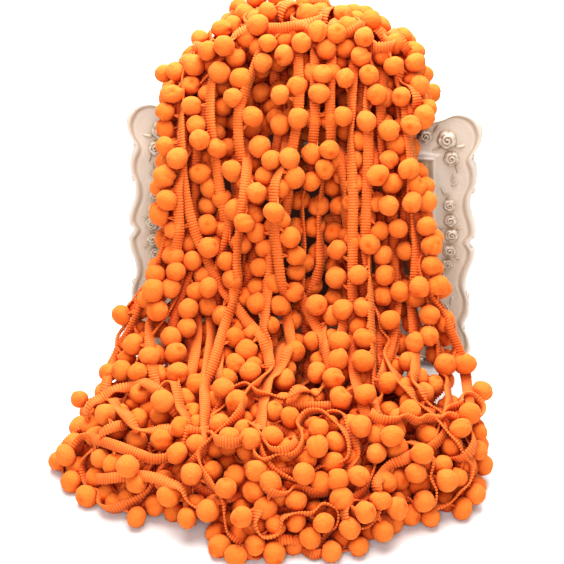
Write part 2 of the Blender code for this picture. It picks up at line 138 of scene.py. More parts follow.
# Small scrolls where the outline's curves meet, mirrored both ways.
SCROLLS = (
    # across, up, radius
    (115.0, 36.5, 2.2), (116.2, 4.6, 2.2), (113.6, 60.0, 1.8),
)

# The trim: a pompom hangs by its hanger from every second station of the braid.
POMPOM_R, HANGER = 6.7, 3.0
STATION, BRAID_WIDE = 9.0, 6.8

# The braid's ribs, and its half width and half thickness between them and what a rib adds.
RIB = 1.8
VALLEY_HALF, RIB_WIDER = 2.7, 0.68
VALLEY_THICK, RIB_THICKER = 0.34, 0.5
SECTION = (
    # share of the half width, share of the half thickness
    (-1, 0.8), (1, 0.8), (1, -0.8), (-1, -0.8),
)
RIB_SAMPLES = {
    # level of detail: where each sample lies, in ribs, its rise, and how many ribs go as one
    3: ((0.0, 0.26, 0.74), (0.0, 1.0, 1.0), 1),
    2: ((0.0, 0.5), (0.0, 1.0), 1),
    1: ((0.0,), (0.7,), 2),
}
UV_LENGTH = 100.0

# A hanger's two yarns, which take the braid's colour at this rise.
YARN_R, YARN_RISE = 0.62, 0.8

# The pompoms' shapes: least and most size along each of their three ways, the last to the hanger.
POMPOM_SHAPES = ((0.98, 1.08), (0.88, 1.0), (0.88, 1.06))
POMPOM_CUTS = (
    # level of detail, faces along the side of each of a ball's six patches
    (3, 7), (2, 4), (1, 3),
)
HIDING_R = POMPOM_R * 0.9

# About how many triangles a piece of braid or of pompoms has at most.
BRAID_TRIANGLES, POMPOM_TRIANGLES = 120000, 150000

SHEEN_TINT = (1.0, 0.55, 0.2, 1)

# The routes are Catmull-Rom curves, taken in so many steps from point to point and then evenly at
# this distance. The ways out are carried along them as vectors of this length.
SPAN_STEPS, ROUTE_STEP, WAY_LENGTH = 12, 4.0, 20

# How firmly each kind of stretch is held to its route in a round: what a pass shows in front and
# behind, passes inside, runs on top, loose loops, the joins between pieces, plain turns.
FRONT_HOLD, BACK_HOLD, INNER_HOLD, RUN_HOLD = 0.25, 0.08, 0.04, 0.2
LOOP_HOLD, JOIN_HOLD, LINK_HOLD = 0.012, 0.01, 0.02

# A shown pass behind the frame: the share that x_back has in its place across, how far inside the
# CAD strand's middle it lies, how far behind its front and from where on it counts as the back,
# and the spread of its foot's height and of its roll, also where it stands proud.
BACK_SHARE, BEHIND_IN, CREST_GAP, BEHIND_CREST = 0.65, (18.0, 15.0), 9, 40
FOOT_SPREAD, BACK_ROLL, PROUD_ROLL = (-12, 10), (-40, 75), (-20, 25)

# How far a join runs straight on at most, and the turns of the crest's rings and heap's loops.
LEAD_MOST, RING_TURNS, LOOP_TURNS = 22.0, 1.3, 1.35

# The simulation: rounds, the last of which are calm, and how far pompoms and the braid's edges
# drop in each; radius of an edge, and how far a pompom's pile gives.
ROUNDS, QUICK_ROUNDS, CALM_ROUNDS = 320, 60, 25
BALL_FALL, RAIL_FALL, RAIL_R, PILE_GIVES = 0.30, 0.06, 1.6, 0.3

# The braid in a round: the share of shear that goes, and the distance that a station keeps from
# the second next one, by this share.
SHEAR_STIFF, FOLD_LEAST, FOLD_STIFF = 0.6, 15.5, 0.5

# How far the trim may leave the CAD's box, and the margins (px) of pompoms and of the braid in
# the outline of the mass, with the most and the share that is made up in a round.
BOX_SPARE, BALL_MARGIN, RAIL_MARGIN = 8.0, 9.0, 8.0
SHORT_MOST, WITHIN_SHARE, MM_PER_PX = 12, 0.6, 0.68

# Two things are beside each other up to this difference in depth.
BESIDE = 3.0

# The CAD's strands over the frame: where each lies on the crest, halfway down and at its foot.
FALLS = (
    # x_crest, x_mid, x_foot, y_foot, z_crest
    (-77, -86, -106, -78, 192),
    (-62, -70, -88, -112, 198),
    (-46, -49, -58, -128, 209),
    (-29, -32, -38, -118, 215),
    (-13, -14, -18, -108, 218),
    (5, 3, 4, -112, 218),
    (20, 18, 20, -104, 216),
    (36, 34, 36, -112, 210),
    (51, 51, 56, -106, 203),
    (65, 69, 80, -100, 197),
    (78, 86, 104, -76, 191),
)

FALL_COLUMNS = ("crest", "mid", "foot", "y_foot", "z_crest")

# A strand's middle from behind the frame to its foot. A height of zero or less is measured from
# the crest.
FALL_PROFILE = (
    # place, y, z
    ("crest", 76, 112),
    ("crest", 82, 155),
    ("crest", 75, -18),
    ("crest", 46, 0),
    ("crest", 12, -16),
    ("mid", -14, 150),
    ("mid", -36, 104),
    ("foot", -62, 66),
    ("foot", -86, 50),
)

# Passes over the frame whose front shows. Side is where the pompoms hang, -1 left and +1 right as
# seen. Each is routed from the crest to its end in the heap by points of the 564-wide view, with
# its height over the hank in mm and its roll in degrees, where 90 turns the pompoms' edge outward.
SHOWN_PASSES = (
    # side, x_back, points of (across, down, lift, roll)
    (-1, -84, (
        (186, 84, -4, 30), (184, 110, -4, 40), (182, 150, -5, 50), (181, 190, -5, 20),
        (173, 225, -3, -40), (161, 256, 1, -65), (148, 290, 1, -70), (133, 324, 1, -70),
        (119, 358, 2, -60), (110, 380, 3, -30),
    )),
    (-1, -76, (
        (192, 90, -9, 30), (190, 130, -9, 30), (190, 180, -9, 40), (188, 230, -8, 50),
        (183, 270, -4, 50), (175, 297, -1, 60), (167, 315, 0, 70), (157, 331, 1, 75),
        (141, 362, 3, 70), (130, 384, 3, 50),
    )),
    (-1, -68, (
        (194, 66, 6, 60), (188, 82, 5, 50), (185, 121, 5, 45), (183, 144, 5, 30), (185, 180, 5, 10),
        (190, 217, 5, 0), (202, 250, 5, 0), (218, 281, 5, 0), (235, 307, 5, 0), (253, 328, 6, 0),
        (266, 348, 6, 5), (271, 370, 6, 45), (261, 388, 7, 75), (251, 403, 8, 75),
        (244, 421, 8, 70), (234, 434, 8, 60), (219, 443, 8, 50), (209, 455, 8, 55),
        (204, 467, 7, 55), (206, 480, 6, 60), (213, 490, 5, 70), (225, 503, 4, 80),
        (229, 521, 4, 80), (237, 535, 4, 85), (248, 549, 3, 85),
    )),
    (-1, -72, (
        (196, 100, -12, 30), (194, 180, -12, 30), (192, 240, -11, 30), (187, 285, -8, 20),
        (181, 315, -6, 10), (178, 345, -4, 10), (174, 376, -1, 20),
    )),
    (1, -64, (
        (200, 90, -8, 30), (196, 140, -9, 30), (193, 200, -9, 30), (191, 250, -8, 20),
        (193, 290, -5, 20), (195, 320, -3, 20), (194, 345, -2, 20), (191, 378, 1, 30),
    )),
    (1, -56, (
        (208, 66, -2, 20), (202, 110, -3, 10), (199, 150, -5, 10), (199, 190, -5, 0),
        (201, 230, -7, 20), (205, 270, -8, 20), (212, 310, -6, 10), (212, 340, 0, 20),
        (206, 374, 3, 30), (207, 396, 4, 30), (206, 412, 4, 30), (203, 428, 3, 40),
    )),
    (-1, -40, (
        (262, 21, 6, 30), (246, 25, 6, 30), (237, 31, 6, 30), (233, 44, 5, 20), (227, 57, 5, 20),
        (219, 71, 5, 10), (216, 86, 5, 0), (213, 121, 4, 0), (214, 140, 2, 10), (219, 180, 1, 0),
        (223, 208, 3, 5), (230, 232, 2, 60), (231, 248, 2, 75), (237, 262, 1, 75),
        (240, 280, 0, 50), (238, 295, 0, 20), (230, 315, -2, 10), (222, 338, 0, 20),
        (220, 365, 1, 20), (222, 385, 2, 30),
    )),
    (1, -20, (
        (299, 12, 8, 20), (291, 23, 8, 15), (276, 38, 7, 20), (267, 48, 6, 40), (259, 60, 5, 70),
        (253, 74, 4, 75), (249, 92, 4, 65), (242, 106, 4, 25), (239, 121, 4, 5), (242, 155, 3, 0),
        (246, 185, -4, 10), (252, 215, -4, 0), (258, 240, -6, 20), (264, 262, -6, 40),
        (264, 290, -4, 20), (268, 315, -6, 0), (276, 340, -6, 0),
    )),
    (-1, 0, (
        (300, 26, 6, 10), (302, 55, 6, 0), (303, 95, 5, 0), (302, 109, 5, 0), (296, 138, 5, 10),
        (288, 172, 5, 0), (287, 193, 5, 10), (287, 208, 4, -30), (284, 227, 3, -65),
        (281, 245, 2, -75), (282, 262, 2, -80), (282, 280, 0, -75), (286, 298, -1, -30),
        (286, 320, 2, 10), (291, 345, 3, 10), (291, 358, 4, 10), (280, 376, 5, 5),
        (268, 390, 5, 20), (262, 412, 6, 40), (258, 436, 6, 30),
    )),
    (1, 8, (
        (318, 30, 6, 40), (314, 48, 5, 50), (313, 64, 4, 40), (314, 80, 3, 15), (314, 98, 3, 0),
        (314, 130, 2, 0), (312, 157, -4, -20), (308, 175, -8, -60), (303, 194, -8, -75),
        (302, 212, -8, -75), (304, 231, -8, -75), (305, 249, -8, -75), (303, 267, -7, -70),
        (297, 284, -5, -50), (302, 303, 0, -10), (311, 316, 2, 5), (319, 334, 4, 0),
        (325, 352, 4, 0), (329, 371, 4, 10), (329, 390, 4, 20),
    )),
    (-1, 18, (
        (334, 30, 4, 30), (332, 60, 2, 20), (330, 90, 1, 10), (329, 115, 1, 0), (333, 135, 0, 0),
        (330, 155, -4, -20), (325, 172, -6, -50), (320, 194, -8, -75), (317, 218, -8, -75),
        (317, 237, -8, -70), (318, 255, -8, -40), (318, 273, -8, -20), (313, 285, -9, -30),
        (306, 297, -12, -50), (303, 315, -14, -30), (308, 340, -14, 20), (312, 362, -12, 0),
    )),
    (-1, 32, (
        (356, 40, 5, 30), (354, 60, 4, 30), (352, 90, 3, 30), (352, 120, 3, 50), (352, 138, 4, 60),
        (351, 152, 5, 40), (353, 168, 6, 10), (353, 195, 6, 0), (352, 218, 6, 0), (351, 243, 6, 0),
        (351, 267, 6, 0), (350, 291, 6, 0), (352, 340, 6, 0), (353, 374, 6, 0), (355, 396, 6, 5),
        (363, 415, 5, 10), (372, 428, 5, 20),
    )),
    (-1, 40, (
        (364, 60, -6, 0), (364, 120, -6, 0), (362, 160, -7, 0), (361, 200, -7, 0),
        (361, 240, -6, 0), (361, 279, -3, 0), (364, 297, -2, 0), (368, 315, -1, 0),
        (373, 333, 1, 0), (373, 352, 2, 0), (368, 374, 3, 0), (368, 400, 4, 10), (374, 412, 4, 30),
    )),
    (1, 48, (
        (372, 50, 5, 30), (368, 75, 4, 40), (364, 98, 3, 30), (366, 120, 3, 30), (369, 143, 4, 5),
        (369, 176, 5, 0), (368, 194, 5, 0), (366, 218, 5, 0), (366, 243, 5, 10), (368, 261, 4, 45),
        (369, 279, 4, 65), (374, 301, 4, 60), (380, 321, 4, 55), (384, 340, 4, 55),
        (385, 356, 4, 55), (388, 370, 5, 50), (399, 383, 5, 45), (406, 394, 6, 45),
        (422, 412, 6, 50), (440, 428, 6, 50), (454, 446, 6, 50), (462, 462, 6, 50),
        (462, 480, 5, 55), (452, 493, 4, 55), (441, 502, 3, 50),
    )),
    (1, 58, (
        (386, 45, 5, 20), (382, 80, 2, 20), (380, 110, 0, 20), (384, 140, -3, 10),
        (388, 180, -5, 0), (391, 230, -6, 0), (392, 270, -5, 10), (393, 300, -2, 0),
        (396, 334, 0, 0), (393, 352, 1, 10), (384, 366, 3, 50), (379, 381, 4, 60),
        (377, 400, 4, 60), (378, 418, 3, 30),
    )),
    (1, 66, (
        (391, 60, 4, 20), (398, 90, 3, 30), (406, 120, 3, 30), (409, 165, 2, 50), (410, 212, 1, 65),
        (415, 231, 1, 60), (416, 250, 1, 20), (416, 270, 1, 0), (414, 290, -2, 20),
        (412, 320, -2, 10), (416, 350, 2, 0), (413, 388, 5, 20), (422, 401, 5, 30),
        (432, 414, 5, 50),
    )),
    (1, 74, (
        (399, 86, -3, 30), (404, 120, -4, 30), (409, 160, -5, 30), (411, 200, -5, 20),
        (415, 250, -2, -20), (421, 279, 2, -50), (429, 295, 2, -65), (438, 306, 2, -70),
        (445, 321, 2, -70), (455, 346, 2, -70), (461, 367, 2, -65), (465, 386, 2, -50),
        (468, 410, 2, -10), (466, 432, 3, 30),
    )),
    (1, 80, (
        (405, 100, 0, 30), (412, 150, -1, 30), (416, 200, -3, 30), (420, 250, -4, 40),
        (428, 300, -3, 60), (434, 330, 1, 70), (440, 356, 2, 75), (446, 376, 2, 70),
        (450, 404, 2, 60), (446, 420, 2, 50),
    )),
)

# Passes between those: where they cross the crest, how far inside the CAD strand's middle they lie
# behind and at the crest and on the fall (below zero is outside it), and how far aside halfway.
INNER_PASSES = (
    # side, x_crest, at_crest, at_fall, aside
    (1, -80, 16, 0, 0),
    (-1, -71, 22, -4, 0),
    (1, -64, 10, -16, 0),
    (-1, -57, 24, -8, 0),
    (1, -50, 18, -3, 0),
    (-1, -43, 25, -12, 0),
    (1, -36, 14, -4, 0),
    (-1, -30, 24, -24, 0),
    (1, -24, 20, -8, 0),
    (-1, -16, 24, -10, 0),
    (1, -9, 16, -19, 0),
    (-1, 0, 20, -27, -14),
    (1, 24, 18, -27, 14),
    (1, 33, 16, -23, 0),
    (-1, 41, 23, -12, 0),
    (1, 48, 12, -24, 0),
    (-1, 54, 22, -9, 0),
    (1, 61, 14, -13, 0),
    (-1, 66, 14, -6, 0),
    (1, 74, 8, 0, 0),
)

# Loose runs that lie along the crest, each between two passes, read like the passes' points.
CREST_RUNS = (
    # side, points of (across, down, lift, roll)
    (1, (
        (188, 82, 1, 70), (196, 68, 1, 75), (208, 54, 1, 80), (222, 42, 1, 80), (236, 32, 1, 80),
        (252, 28, 1, 75), (270, 24, 1, 70),
    )),
    (1, (
        (210, 78, 2, 70), (222, 66, 2, 75), (236, 55, 2, 80), (252, 49, 2, 80), (268, 46, 2, 75),
        (286, 44, 2, 70),
    )),
    (1, (
        (262, 22, 1, 60), (276, 16, 2, 75), (292, 12, 2, 80), (308, 14, 2, 80), (324, 20, 1, 75),
        (338, 28, 1, 60),
    )),
    (1, (
        (302, 44, 2, 60), (316, 44, 2, 75), (332, 42, 2, 80), (348, 48, 2, 80), (364, 54, 2, 75),
        (378, 62, 2, 60),
    )),
    (1, (
        (340, 26, 1, 60), (354, 32, 1, 75), (370, 38, 1, 80), (380, 47, 1, 80), (389, 57, 1, 75),
        (397, 70, 1, 60), (403, 86, 1, 50),
    )),
)

# Loose rings that lie on the crest: centre, half sizes and height.
CREST_LOOPS = (
    # x, y, half_x, half_y, z
    (-60, 44, 20, 20, 219),
    (-38, 42, 24, 22, 231),
    (-12, 42, 26, 24, 237),
    (16, 42, 26, 24, 237),
    (42, 42, 22, 22, 229),
    (56, 44, 12, 18, 216),
)

# Runs that lie on top of the heap, each between two passes, read like the passes' points.
HEAP_RUNS = (
    # side, points of (across, down, lift, roll)
    (-1, (
        (104, 446, 4, 20), (92, 456, 3, 60), (86, 468, 3, 60), (90, 482, 3, 50), (104, 488, 4, 30),
    )),
    (1, (
        (86, 478, 6, 10), (110, 479, 6, 10), (133, 477, 6, 0), (155, 478, 6, 0), (168, 483, 5, 15),
        (186, 490, 4, 40),
    )),
    (-1, (
        (94, 440, 6, 20), (110, 442, 6, 10), (126, 448, 6, 0), (147, 459, 6, 10), (160, 466, 5, 40),
        (172, 458, 5, 70),
    )),
    (1, (
        (122, 418, 6, 0), (131, 431, 6, 0), (146, 438, 6, 30), (160, 432, 6, 20), (180, 431, 5, 0),
    )),
    (-1, (
        (106, 400, 3, 20), (118, 393, 4, 0), (132, 390, 4, 0), (148, 388, 4, 10), (160, 395, 3, 40),
    )),
    (1, (
        (250, 436, 6, 60), (258, 434, 6, 20), (272, 430, 7, 0), (288, 426, 7, 10),
        (297, 436, 6, 60), (290, 447, 5, 70),
    )),
    (-1, (
        (330, 432, 7, 60), (326, 423, 8, 70), (317, 419, 8, 70), (308, 426, 8, 70),
        (306, 441, 7, 60), (301, 454, 6, 50), (288, 460, 5, 40), (276, 456, 4, 50),
    )),
    (-1, (
        (262, 492, 4, 10), (268, 505, 4, 10), (261, 519, 4, 20), (258, 530, 4, 40),
        (266, 537, 4, 60), (274, 525, 5, 75), (284, 518, 5, 80), (304, 515, 4, 80),
    )),
    (1, (
        (262, 556, 2, 60), (268, 545, 3, 60), (276, 537, 4, 50), (286, 536, 4, 40),
        (296, 543, 3, 40), (304, 551, 2, 50),
    )),
    (-1, (
        (294, 481, 5, 10), (305, 490, 5, 10), (312, 499, 5, 30), (326, 495, 4, 60),
        (334, 488, 3, 60),
    )),
    (1, (
        (263, 399, 5, 60), (282, 402, 5, 30), (300, 399, 6, 20), (314, 395, 6, 30),
        (329, 397, 5, 60),
    )),
    (1, (
        (392, 467, 6, 40), (384, 474, 6, 20), (376, 484, 5, 10), (370, 497, 3, 20),
    )),
    (-1, (
        (368, 511, 3, 60), (382, 514, 3, 70), (403, 515, 3, 75), (418, 511, 3, 70),
        (431, 506, 3, 60),
    )),
    (-1, (
        (434, 419, 6, 70), (448, 414, 6, 75), (466, 410, 4, 75),
    )),
    (1, (
        (404, 446, 5, 30), (420, 452, 5, 20), (432, 462, 5, 40), (426, 476, 5, 60),
    )),
    (-1, (
        (344, 440, 6, 50), (356, 450, 6, 40), (350, 464, 6, 50), (338, 470, 5, 60),
    )),
    (1, (
        (178, 408, 4, 20), (188, 424, 4, 40), (184, 446, 4, 60), (190, 466, 4, 60),
    )),
)

# Pompoms that show plainly, across and down the view: each draws the nearest free one of the
# trim, if it is within reach, by a share of the way in a round.
SEEN_POMPOMS = (
    # the crest
    (232, 16), (250, 16), (282, 9), (320, 9), (344, 19), (360, 22), (347, 31), (385, 36), (402, 44),
    (415, 69), (220, 41), (204, 45), (270, 25), (191, 65), (176, 76), (211, 60), (242, 61),
    (264, 64), (285, 57), (254, 46), (225, 75), (190, 90), (327, 52), (342, 44), (314, 42),
    (350, 45), (376, 45), (380, 60), (419, 84), (292, 40), (270, 12), (373, 30), (186, 73),
    # the upper fall
    (231, 96), (170, 114), (197, 107), (240, 86), (280, 94), (295, 88), (256, 112), (320, 78),
    (342, 84), (206, 136), (221, 140), (197, 127), (295, 124), (280, 121), (170, 147), (264, 147),
    (276, 160), (364, 80), (374, 95), (399, 102), (320, 96), (341, 116), (365, 124), (387, 131),
    (422, 120), (312, 157), (336, 156), (389, 155), (407, 172), (202, 170), (170, 176), (237, 172),
    (267, 175), (313, 181), (336, 185), (390, 180), (415, 182), (405, 128), (180, 160),
    # the middle
    (167, 200), (177, 196), (166, 216), (180, 227), (207, 209), (209, 227), (256, 194), (274, 195),
    (236, 212), (252, 215), (260, 230), (275, 229), (215, 247), (242, 240), (177, 249), (180, 270),
    (172, 280), (187, 265), (201, 290), (236, 277), (254, 284), (270, 286), (264, 265), (266, 247),
    (260, 302), (285, 300), (292, 244), (294, 266), (191, 310), (221, 311), (266, 327), (331, 220),
    (384, 202), (411, 201), (400, 229), (430, 225), (432, 244), (381, 255), (345, 252), (340, 280),
    (381, 275), (407, 252), (430, 265), (401, 289), (416, 300), (434, 285), (431, 315), (432, 335),
    (412, 342), (332, 316), (319, 306), (304, 329), (331, 337), (352, 327),
    # the skirts
    (180, 332), (172, 337), (235, 344), (255, 347), (237, 365), (256, 364), (249, 380), (177, 379),
    (172, 356), (150, 365), (145, 375), (154, 315), (131, 315), (157, 290), (312, 352), (312, 375),
    (344, 350), (345, 375), (407, 362), (427, 384), (459, 369), (440, 370), (200, 387), (120, 378),
    (338, 390),
    # the heap
    (53, 463), (80, 428), (80, 447), (92, 405), (112, 422), (162, 407), (185, 407), (190, 428),
    (200, 448), (115, 465), (72, 473), (107, 500), (133, 493), (158, 502), (87, 515), (123, 513),
    (143, 512), (172, 500), (192, 507), (190, 480), (172, 460), (237, 465), (227, 490), (252, 487),
    (272, 477), (213, 510), (222, 537), (252, 512), (223, 430), (238, 442), (230, 395), (243, 410),
    (273, 450), (285, 503), (302, 472), (332, 482), (317, 477), (357, 485), (292, 503), (342, 505),
    (362, 508), (315, 520), (307, 533), (327, 537), (363, 530), (345, 543), (290, 552), (315, 453),
    (372, 435), (393, 430), (377, 458), (395, 452), (350, 430), (340, 408), (408, 420), (412, 477),
    (418, 498), (398, 500), (443, 482), (458, 510), (482, 510), (485, 487), (487, 467), (470, 450),
    (460, 433), (463, 420), (403, 525), (427, 523), (457, 520), (420, 457), (333, 438), (297, 413),
    (275, 412), (472, 397), (133, 466), (300, 436),
)
SEEN_REACH, DRAWN_SHARE = 26.0, 0.12

# Hollows between the falls: place and half sizes in the view, and how far back (mm) they are open.
HOLLOWS = (
    # across, down, half_across, half_down, deep
    (227, 110, 8, 8, 24),
    (262, 140, 10, 12, 26),
    (294, 222, 9, 44, 28),
    (311, 224, 9, 40, 28),
    (333, 262, 15, 36, 32),
    (334, 196, 12, 16, 26),
    (306, 300, 14, 14, 24),
    (284, 332, 8, 14, 24),
    (323, 300, 8, 12, 20),
    (342, 135, 6, 10, 18),
    (362, 165, 5, 20, 16),
    (250, 312, 8, 10, 18),
    (202, 205, 6, 16, 16),
    (225, 190, 5, 10, 16),
    (206, 330, 8, 16, 16),
    (376, 215, 5, 30, 14),
    (404, 268, 7, 10, 24),
    (387, 296, 5, 12, 24),
    (396, 96, 5, 8, 14),
)

# A run that is held this firmly, and is seen lower than this (px), stays clear of pompoms that
# lie this near (px) before it: they go aside by a share of what is short, and back (mm).
CLEAR_HOLD, CLEAR_FROM, CLEAR_REACH = 0.19, 105.0, 11.0
CLEAR_SHARE, CLEAR_SINK = 0.22, 0.7

# Shown passes, by x_back, whose run stands proud on the hank's back: by how much at its foot,
# halfway and at the crest, and how firmly it is held there. Where it is further back than
# BACK_FROM, pompoms within reach behind it go aside by a share of what is short, and inward.
PROUD_BACKS = (-84, -68, -56, -40, -20, 0, 18, 32, 48, 66, 80)
PROUD = (30.0, 32.0, 22.0)
PROUD_HOLD, BACK_FROM, PROUD_REACH = 0.17, 60.0, 7.5
PROUD_SHARE, PROUD_SINK = 0.25, 0.6

# The outline of the whole mass in the view, clockwise from its left shoulder. Points below
# HEAP_TOP that are moved back within it are moved along the floor.
SILHOUETTE = (
    # across, down
    (165, 80), (182, 60), (196, 42), (210, 28), (222, 12), (236, 6), (262, 3), (285, -2), (320, -2),
    (345, 8), (366, 20), (388, 30), (406, 42), (420, 60), (430, 84), (432, 105), (433, 125),
    (416, 140), (413, 152), (418, 175), (425, 195), (437, 213), (442, 240), (441, 270), (443, 290),
    (446, 305), (453, 330), (461, 355), (474, 378), (482, 396), (480, 420), (482, 440), (496, 462),
    (499, 488), (492, 510), (482, 532), (457, 534), (403, 533), (372, 538), (355, 556), (330, 562),
    (300, 568), (262, 570), (240, 562), (221, 547), (205, 530), (190, 520), (150, 523), (110, 522),
    (87, 526), (76, 512), (66, 490), (64, 470), (68, 446), (70, 424), (80, 402), (101, 386),
    (111, 370), (120, 350), (130, 332), (140, 300), (151, 280), (160, 262), (165, 245), (165, 230),
    (156, 215), (161, 200), (160, 185), (160, 160), (159, 110), (168, 95),
)
HEAP_TOP = 60.0

# Loops of the heap, one for each turn of the trim at the foot: centre, half sizes and height.
HEAP_LOOPS = (
    # x, y, half_x, half_y, z
    (-92, -106, 30, 36, 7),
    (-60, -128, 34, 30, 8),
    (-80, -157, 32, 20, 7),
    (-4, -160, 44, 44, 7),
    (-34, -140, 42, 42, 14),
    (38, -146, 44, 40, 9),
    (82, -124, 34, 46, 7),
    (-100, -108, 24, 38, 20),
    (-70, -126, 30, 32, 22),
    (-26, -152, 34, 38, 24),
    (12, -162, 34, 34, 22),
    (50, -136, 32, 34, 26),
    (86, -118, 28, 42, 22),
    (0, -150, 32, 34, 40),
    (40, -132, 28, 28, 42),
    (74, -112, 26, 34, 38),
    (-30, -48, 34, 20, 12),
    (30, -48, 34, 20, 14),
    (-2, -46, 36, 20, 30),
)


def unit(vectors):
    """Each vector at length one."""
    return vectors / np.maximum(np.linalg.norm(vectors, axis=-1, keepdims=True), 1e-9)


# ---------------------------------------------------------------- the camera and what it sees


def seen_from(azimuth, elevation):
    """The way back to an eye at these angles."""
    level = math.cos(elevation)
    return np.array([math.sin(azimuth) * level, -math.cos(azimuth) * level, math.sin(elevation)])


BACK = seen_from(AZIMUTH, ELEVATION)
RIGHT = np.array([math.cos(AZIMUTH), math.sin(AZIMUTH), 0.0])
UP = np.cross(BACK, RIGHT)
FOCAL_PX = LENS_MM / SENSOR_MM * VIEW_PX


def add_camera():
    """The camera, at the place and angle that the drape is seen from."""
    data = bpy.data.cameras.new("view")
    data.lens, data.sensor_width = LENS_MM, SENSOR_MM
    data.clip_start, data.clip_end = 0.05, 20.0
    camera = bpy.data.objects.new("view", data)
    bpy.context.scene.collection.objects.link(camera)
    turn = Matrix([[RIGHT[i], UP[i], BACK[i]] for i in range(3)])
    camera.matrix_world = Matrix.Translation(CAMERA_AT) @ turn.to_4x4()
    bpy.context.scene.camera = camera


def view_ray(u, v):
    """The direction of the ray through a point of the view."""
    half = VIEW_PX / 2
    return Vector(unit(-BACK + RIGHT * (u - half) / FOCAL_PX - UP * (v - half) / FOCAL_PX))


def seen_at(points):
    """Across and down the view, and the depth (mm), of points."""
    from_camera = points * MM - CAMERA_AT
    depth = -from_camera @ BACK
    half = VIEW_PX / 2
    across = half + FOCAL_PX * (from_camera @ RIGHT) / depth
    down = half - FOCAL_PX * (from_camera @ UP) / depth
    return np.stack([across, down, depth / MM], 1)


def surface_tree(node):
    """A search tree of a CAD node's surface."""
    obj = bpy.data.objects[node]
    mesh = obj.data
    return BVHTree.FromPolygons(
        [obj.matrix_world @ v.co for v in mesh.vertices], [tuple(p.vertices) for p in mesh.polygons]
    )


def on_hank(tree, u, v, lift):
    """Where a point of the view lies on the hank, this far (mm) outside it, and the way out there.

    Beside the hank it is the place on the ray that is nearest to it.
    """
    start, ahead = Vector(CAMERA_AT), view_ray(u, v)
    hit, normal, _, _ = tree.ray_cast(start, ahead)
    if hit is None:
        best = min(
            (tree.find_nearest(start + ahead * (0.9 + 0.004 * k)) for k in range(110)),
            key=lambda near: near[3],
        )
        hit = start + ahead * (best[0] - start).dot(ahead)
        return np.array(hit) / MM, np.array((hit - best[0]).normalized())
    if normal.dot(ahead) > 0:
        normal = -normal
    return np.array(hit + normal * lift * MM) / MM, np.array(normal)


# ---------------------------------------------------------------- the route of the trim


def spline(a, b, c, d, t):
    """The Catmull-Rom value at a share of the way from b to c, with a before and d after them."""
    bend = 2 * a - 5 * b + 4 * c - d
    twist = 3 * b - a - 3 * c + d
    return 0.5 * (2 * b + (c - a) * t + bend * t**2 + twist * t**3)


def smooth_curve(points, step):
    """A Catmull-Rom curve through points, as points this far apart."""
    points = np.asarray(points, float)
    line = np.vstack([2 * points[0] - points[1], points, 2 * points[-1] - points[-2]])
    t = np.linspace(0, 1, SPAN_STEPS + 1)[:-1, None]
    parts = [spline(*four, t) for four in zip(line, line[1:], line[2:], line[3:])]
    return resample(np.vstack([*parts, points[-1:]]), step)


def closed_curve(points, step):
    """A closed Catmull-Rom curve, as an even number of points about this far apart."""
    four = (np.roll(points, k, axis=0) for k in (1, 0, -1, -2))
    t = np.linspace(0, 1, SPAN_STEPS + 1)[:-1, None, None]
    curve = spline(*four, t).transpose(1, 0, 2).reshape(-1, points.shape[1])
    curve = np.vstack([curve, curve[:1]])
    length = np.linalg.norm(np.diff(curve, axis=0), axis=1).sum()
    return resample(curve, length / (2 * round(length / step / 2)))[:-1]


def resample(curve, step):
    """The same line as points this far apart, to the nearest whole number of steps."""
    gone = np.concatenate([[0], np.cumsum(np.linalg.norm(np.diff(curve[:, :3], axis=0), axis=1))])
    count = max(2, round(gone[-1] / step))
    want = np.linspace(0, gone[-1], count + 1)
    return np.stack([np.interp(want, gone, curve[:, k]) for k in range(curve.shape[1])], 1)


def smoothed(values, reach):
    """Each row as the mean of those up to this many places away."""
    if reach == 0:
        return values
    size = 2 * reach + 1
    padded = np.pad(values, ((reach, reach), (0, 0)), mode="edge")
    total = np.cumsum(np.vstack([np.zeros((1, values.shape[1])), padded]), axis=0)
    return (total[size:] - total[:-size]) / size


def fall_at(x_crest, place):
    """The CAD strands' measure at this place across the crest."""
    table = np.array(FALLS, float)
    column = FALL_COLUMNS.index(place)
    inside = min(max(x_crest, table[0, 0]), table[-1, 0])
    if x_crest != inside and column < 3:
        end = table[0] if x_crest < inside else table[-1]
        return end[column] + (x_crest - end[0])
    return float(np.interp(x_crest, table[:, 0], table[:, column]))


def profile(x_crest, at_crest, at_fall):
    """A strand's route over the frame, this far inside the CAD strand's middle, and the ways in."""
    z_crest = fall_at(x_crest, "z_crest")
    rows = [
        (fall_at(x_crest, place), y, z if z > 0 else z_crest + z) for place, y, z in FALL_PROFILE
    ]
    points = np.array(rows, float)
    ahead = unit(np.gradient(points, axis=0))
    inward = unit(np.cross(ahead, [-1.0, 0, 0]))
    depth = [at_crest if place == "crest" else at_fall for place, _, _ in FALL_PROFILE]
    return points + inward * np.array(depth, float)[:, None], inward


def across_of(points, outs, side, roll):
    """The ways from the braid's bare edge to its pompoms, on this side, rolled by degrees."""
    ahead = unit(np.gradient(points, axis=0))
    level = unit(np.cross(ahead, outs) * -side)
    upright = unit(np.cross(level, ahead) * side)
    turn = np.radians(roll)[:, None]
    return unit(level * np.cos(turn) + upright * np.sin(turn))


def seen_line(tree, view_points):
    """A run that is routed by the view, as rows of a point, the way out there and the roll."""
    found = [on_hank(tree, u, v, lift) for u, v, lift, _ in view_points]
    return [
        np.array([*point, *(out * WAY_LENGTH), row[3]])
        for (point, out), row in zip(found, view_points)
    ]


def laid(line, side, point_reach, out_reach, hold):
    """Points, ways to the pompoms and hold of a run, from rows of a point, a way out and a roll."""
    points, outs = smoothed(line[:, :3], point_reach), unit(smoothed(line[:, 3:6], out_reach))
    return points, across_of(points, outs, side, line[:, 6]), np.full(len(points), hold)


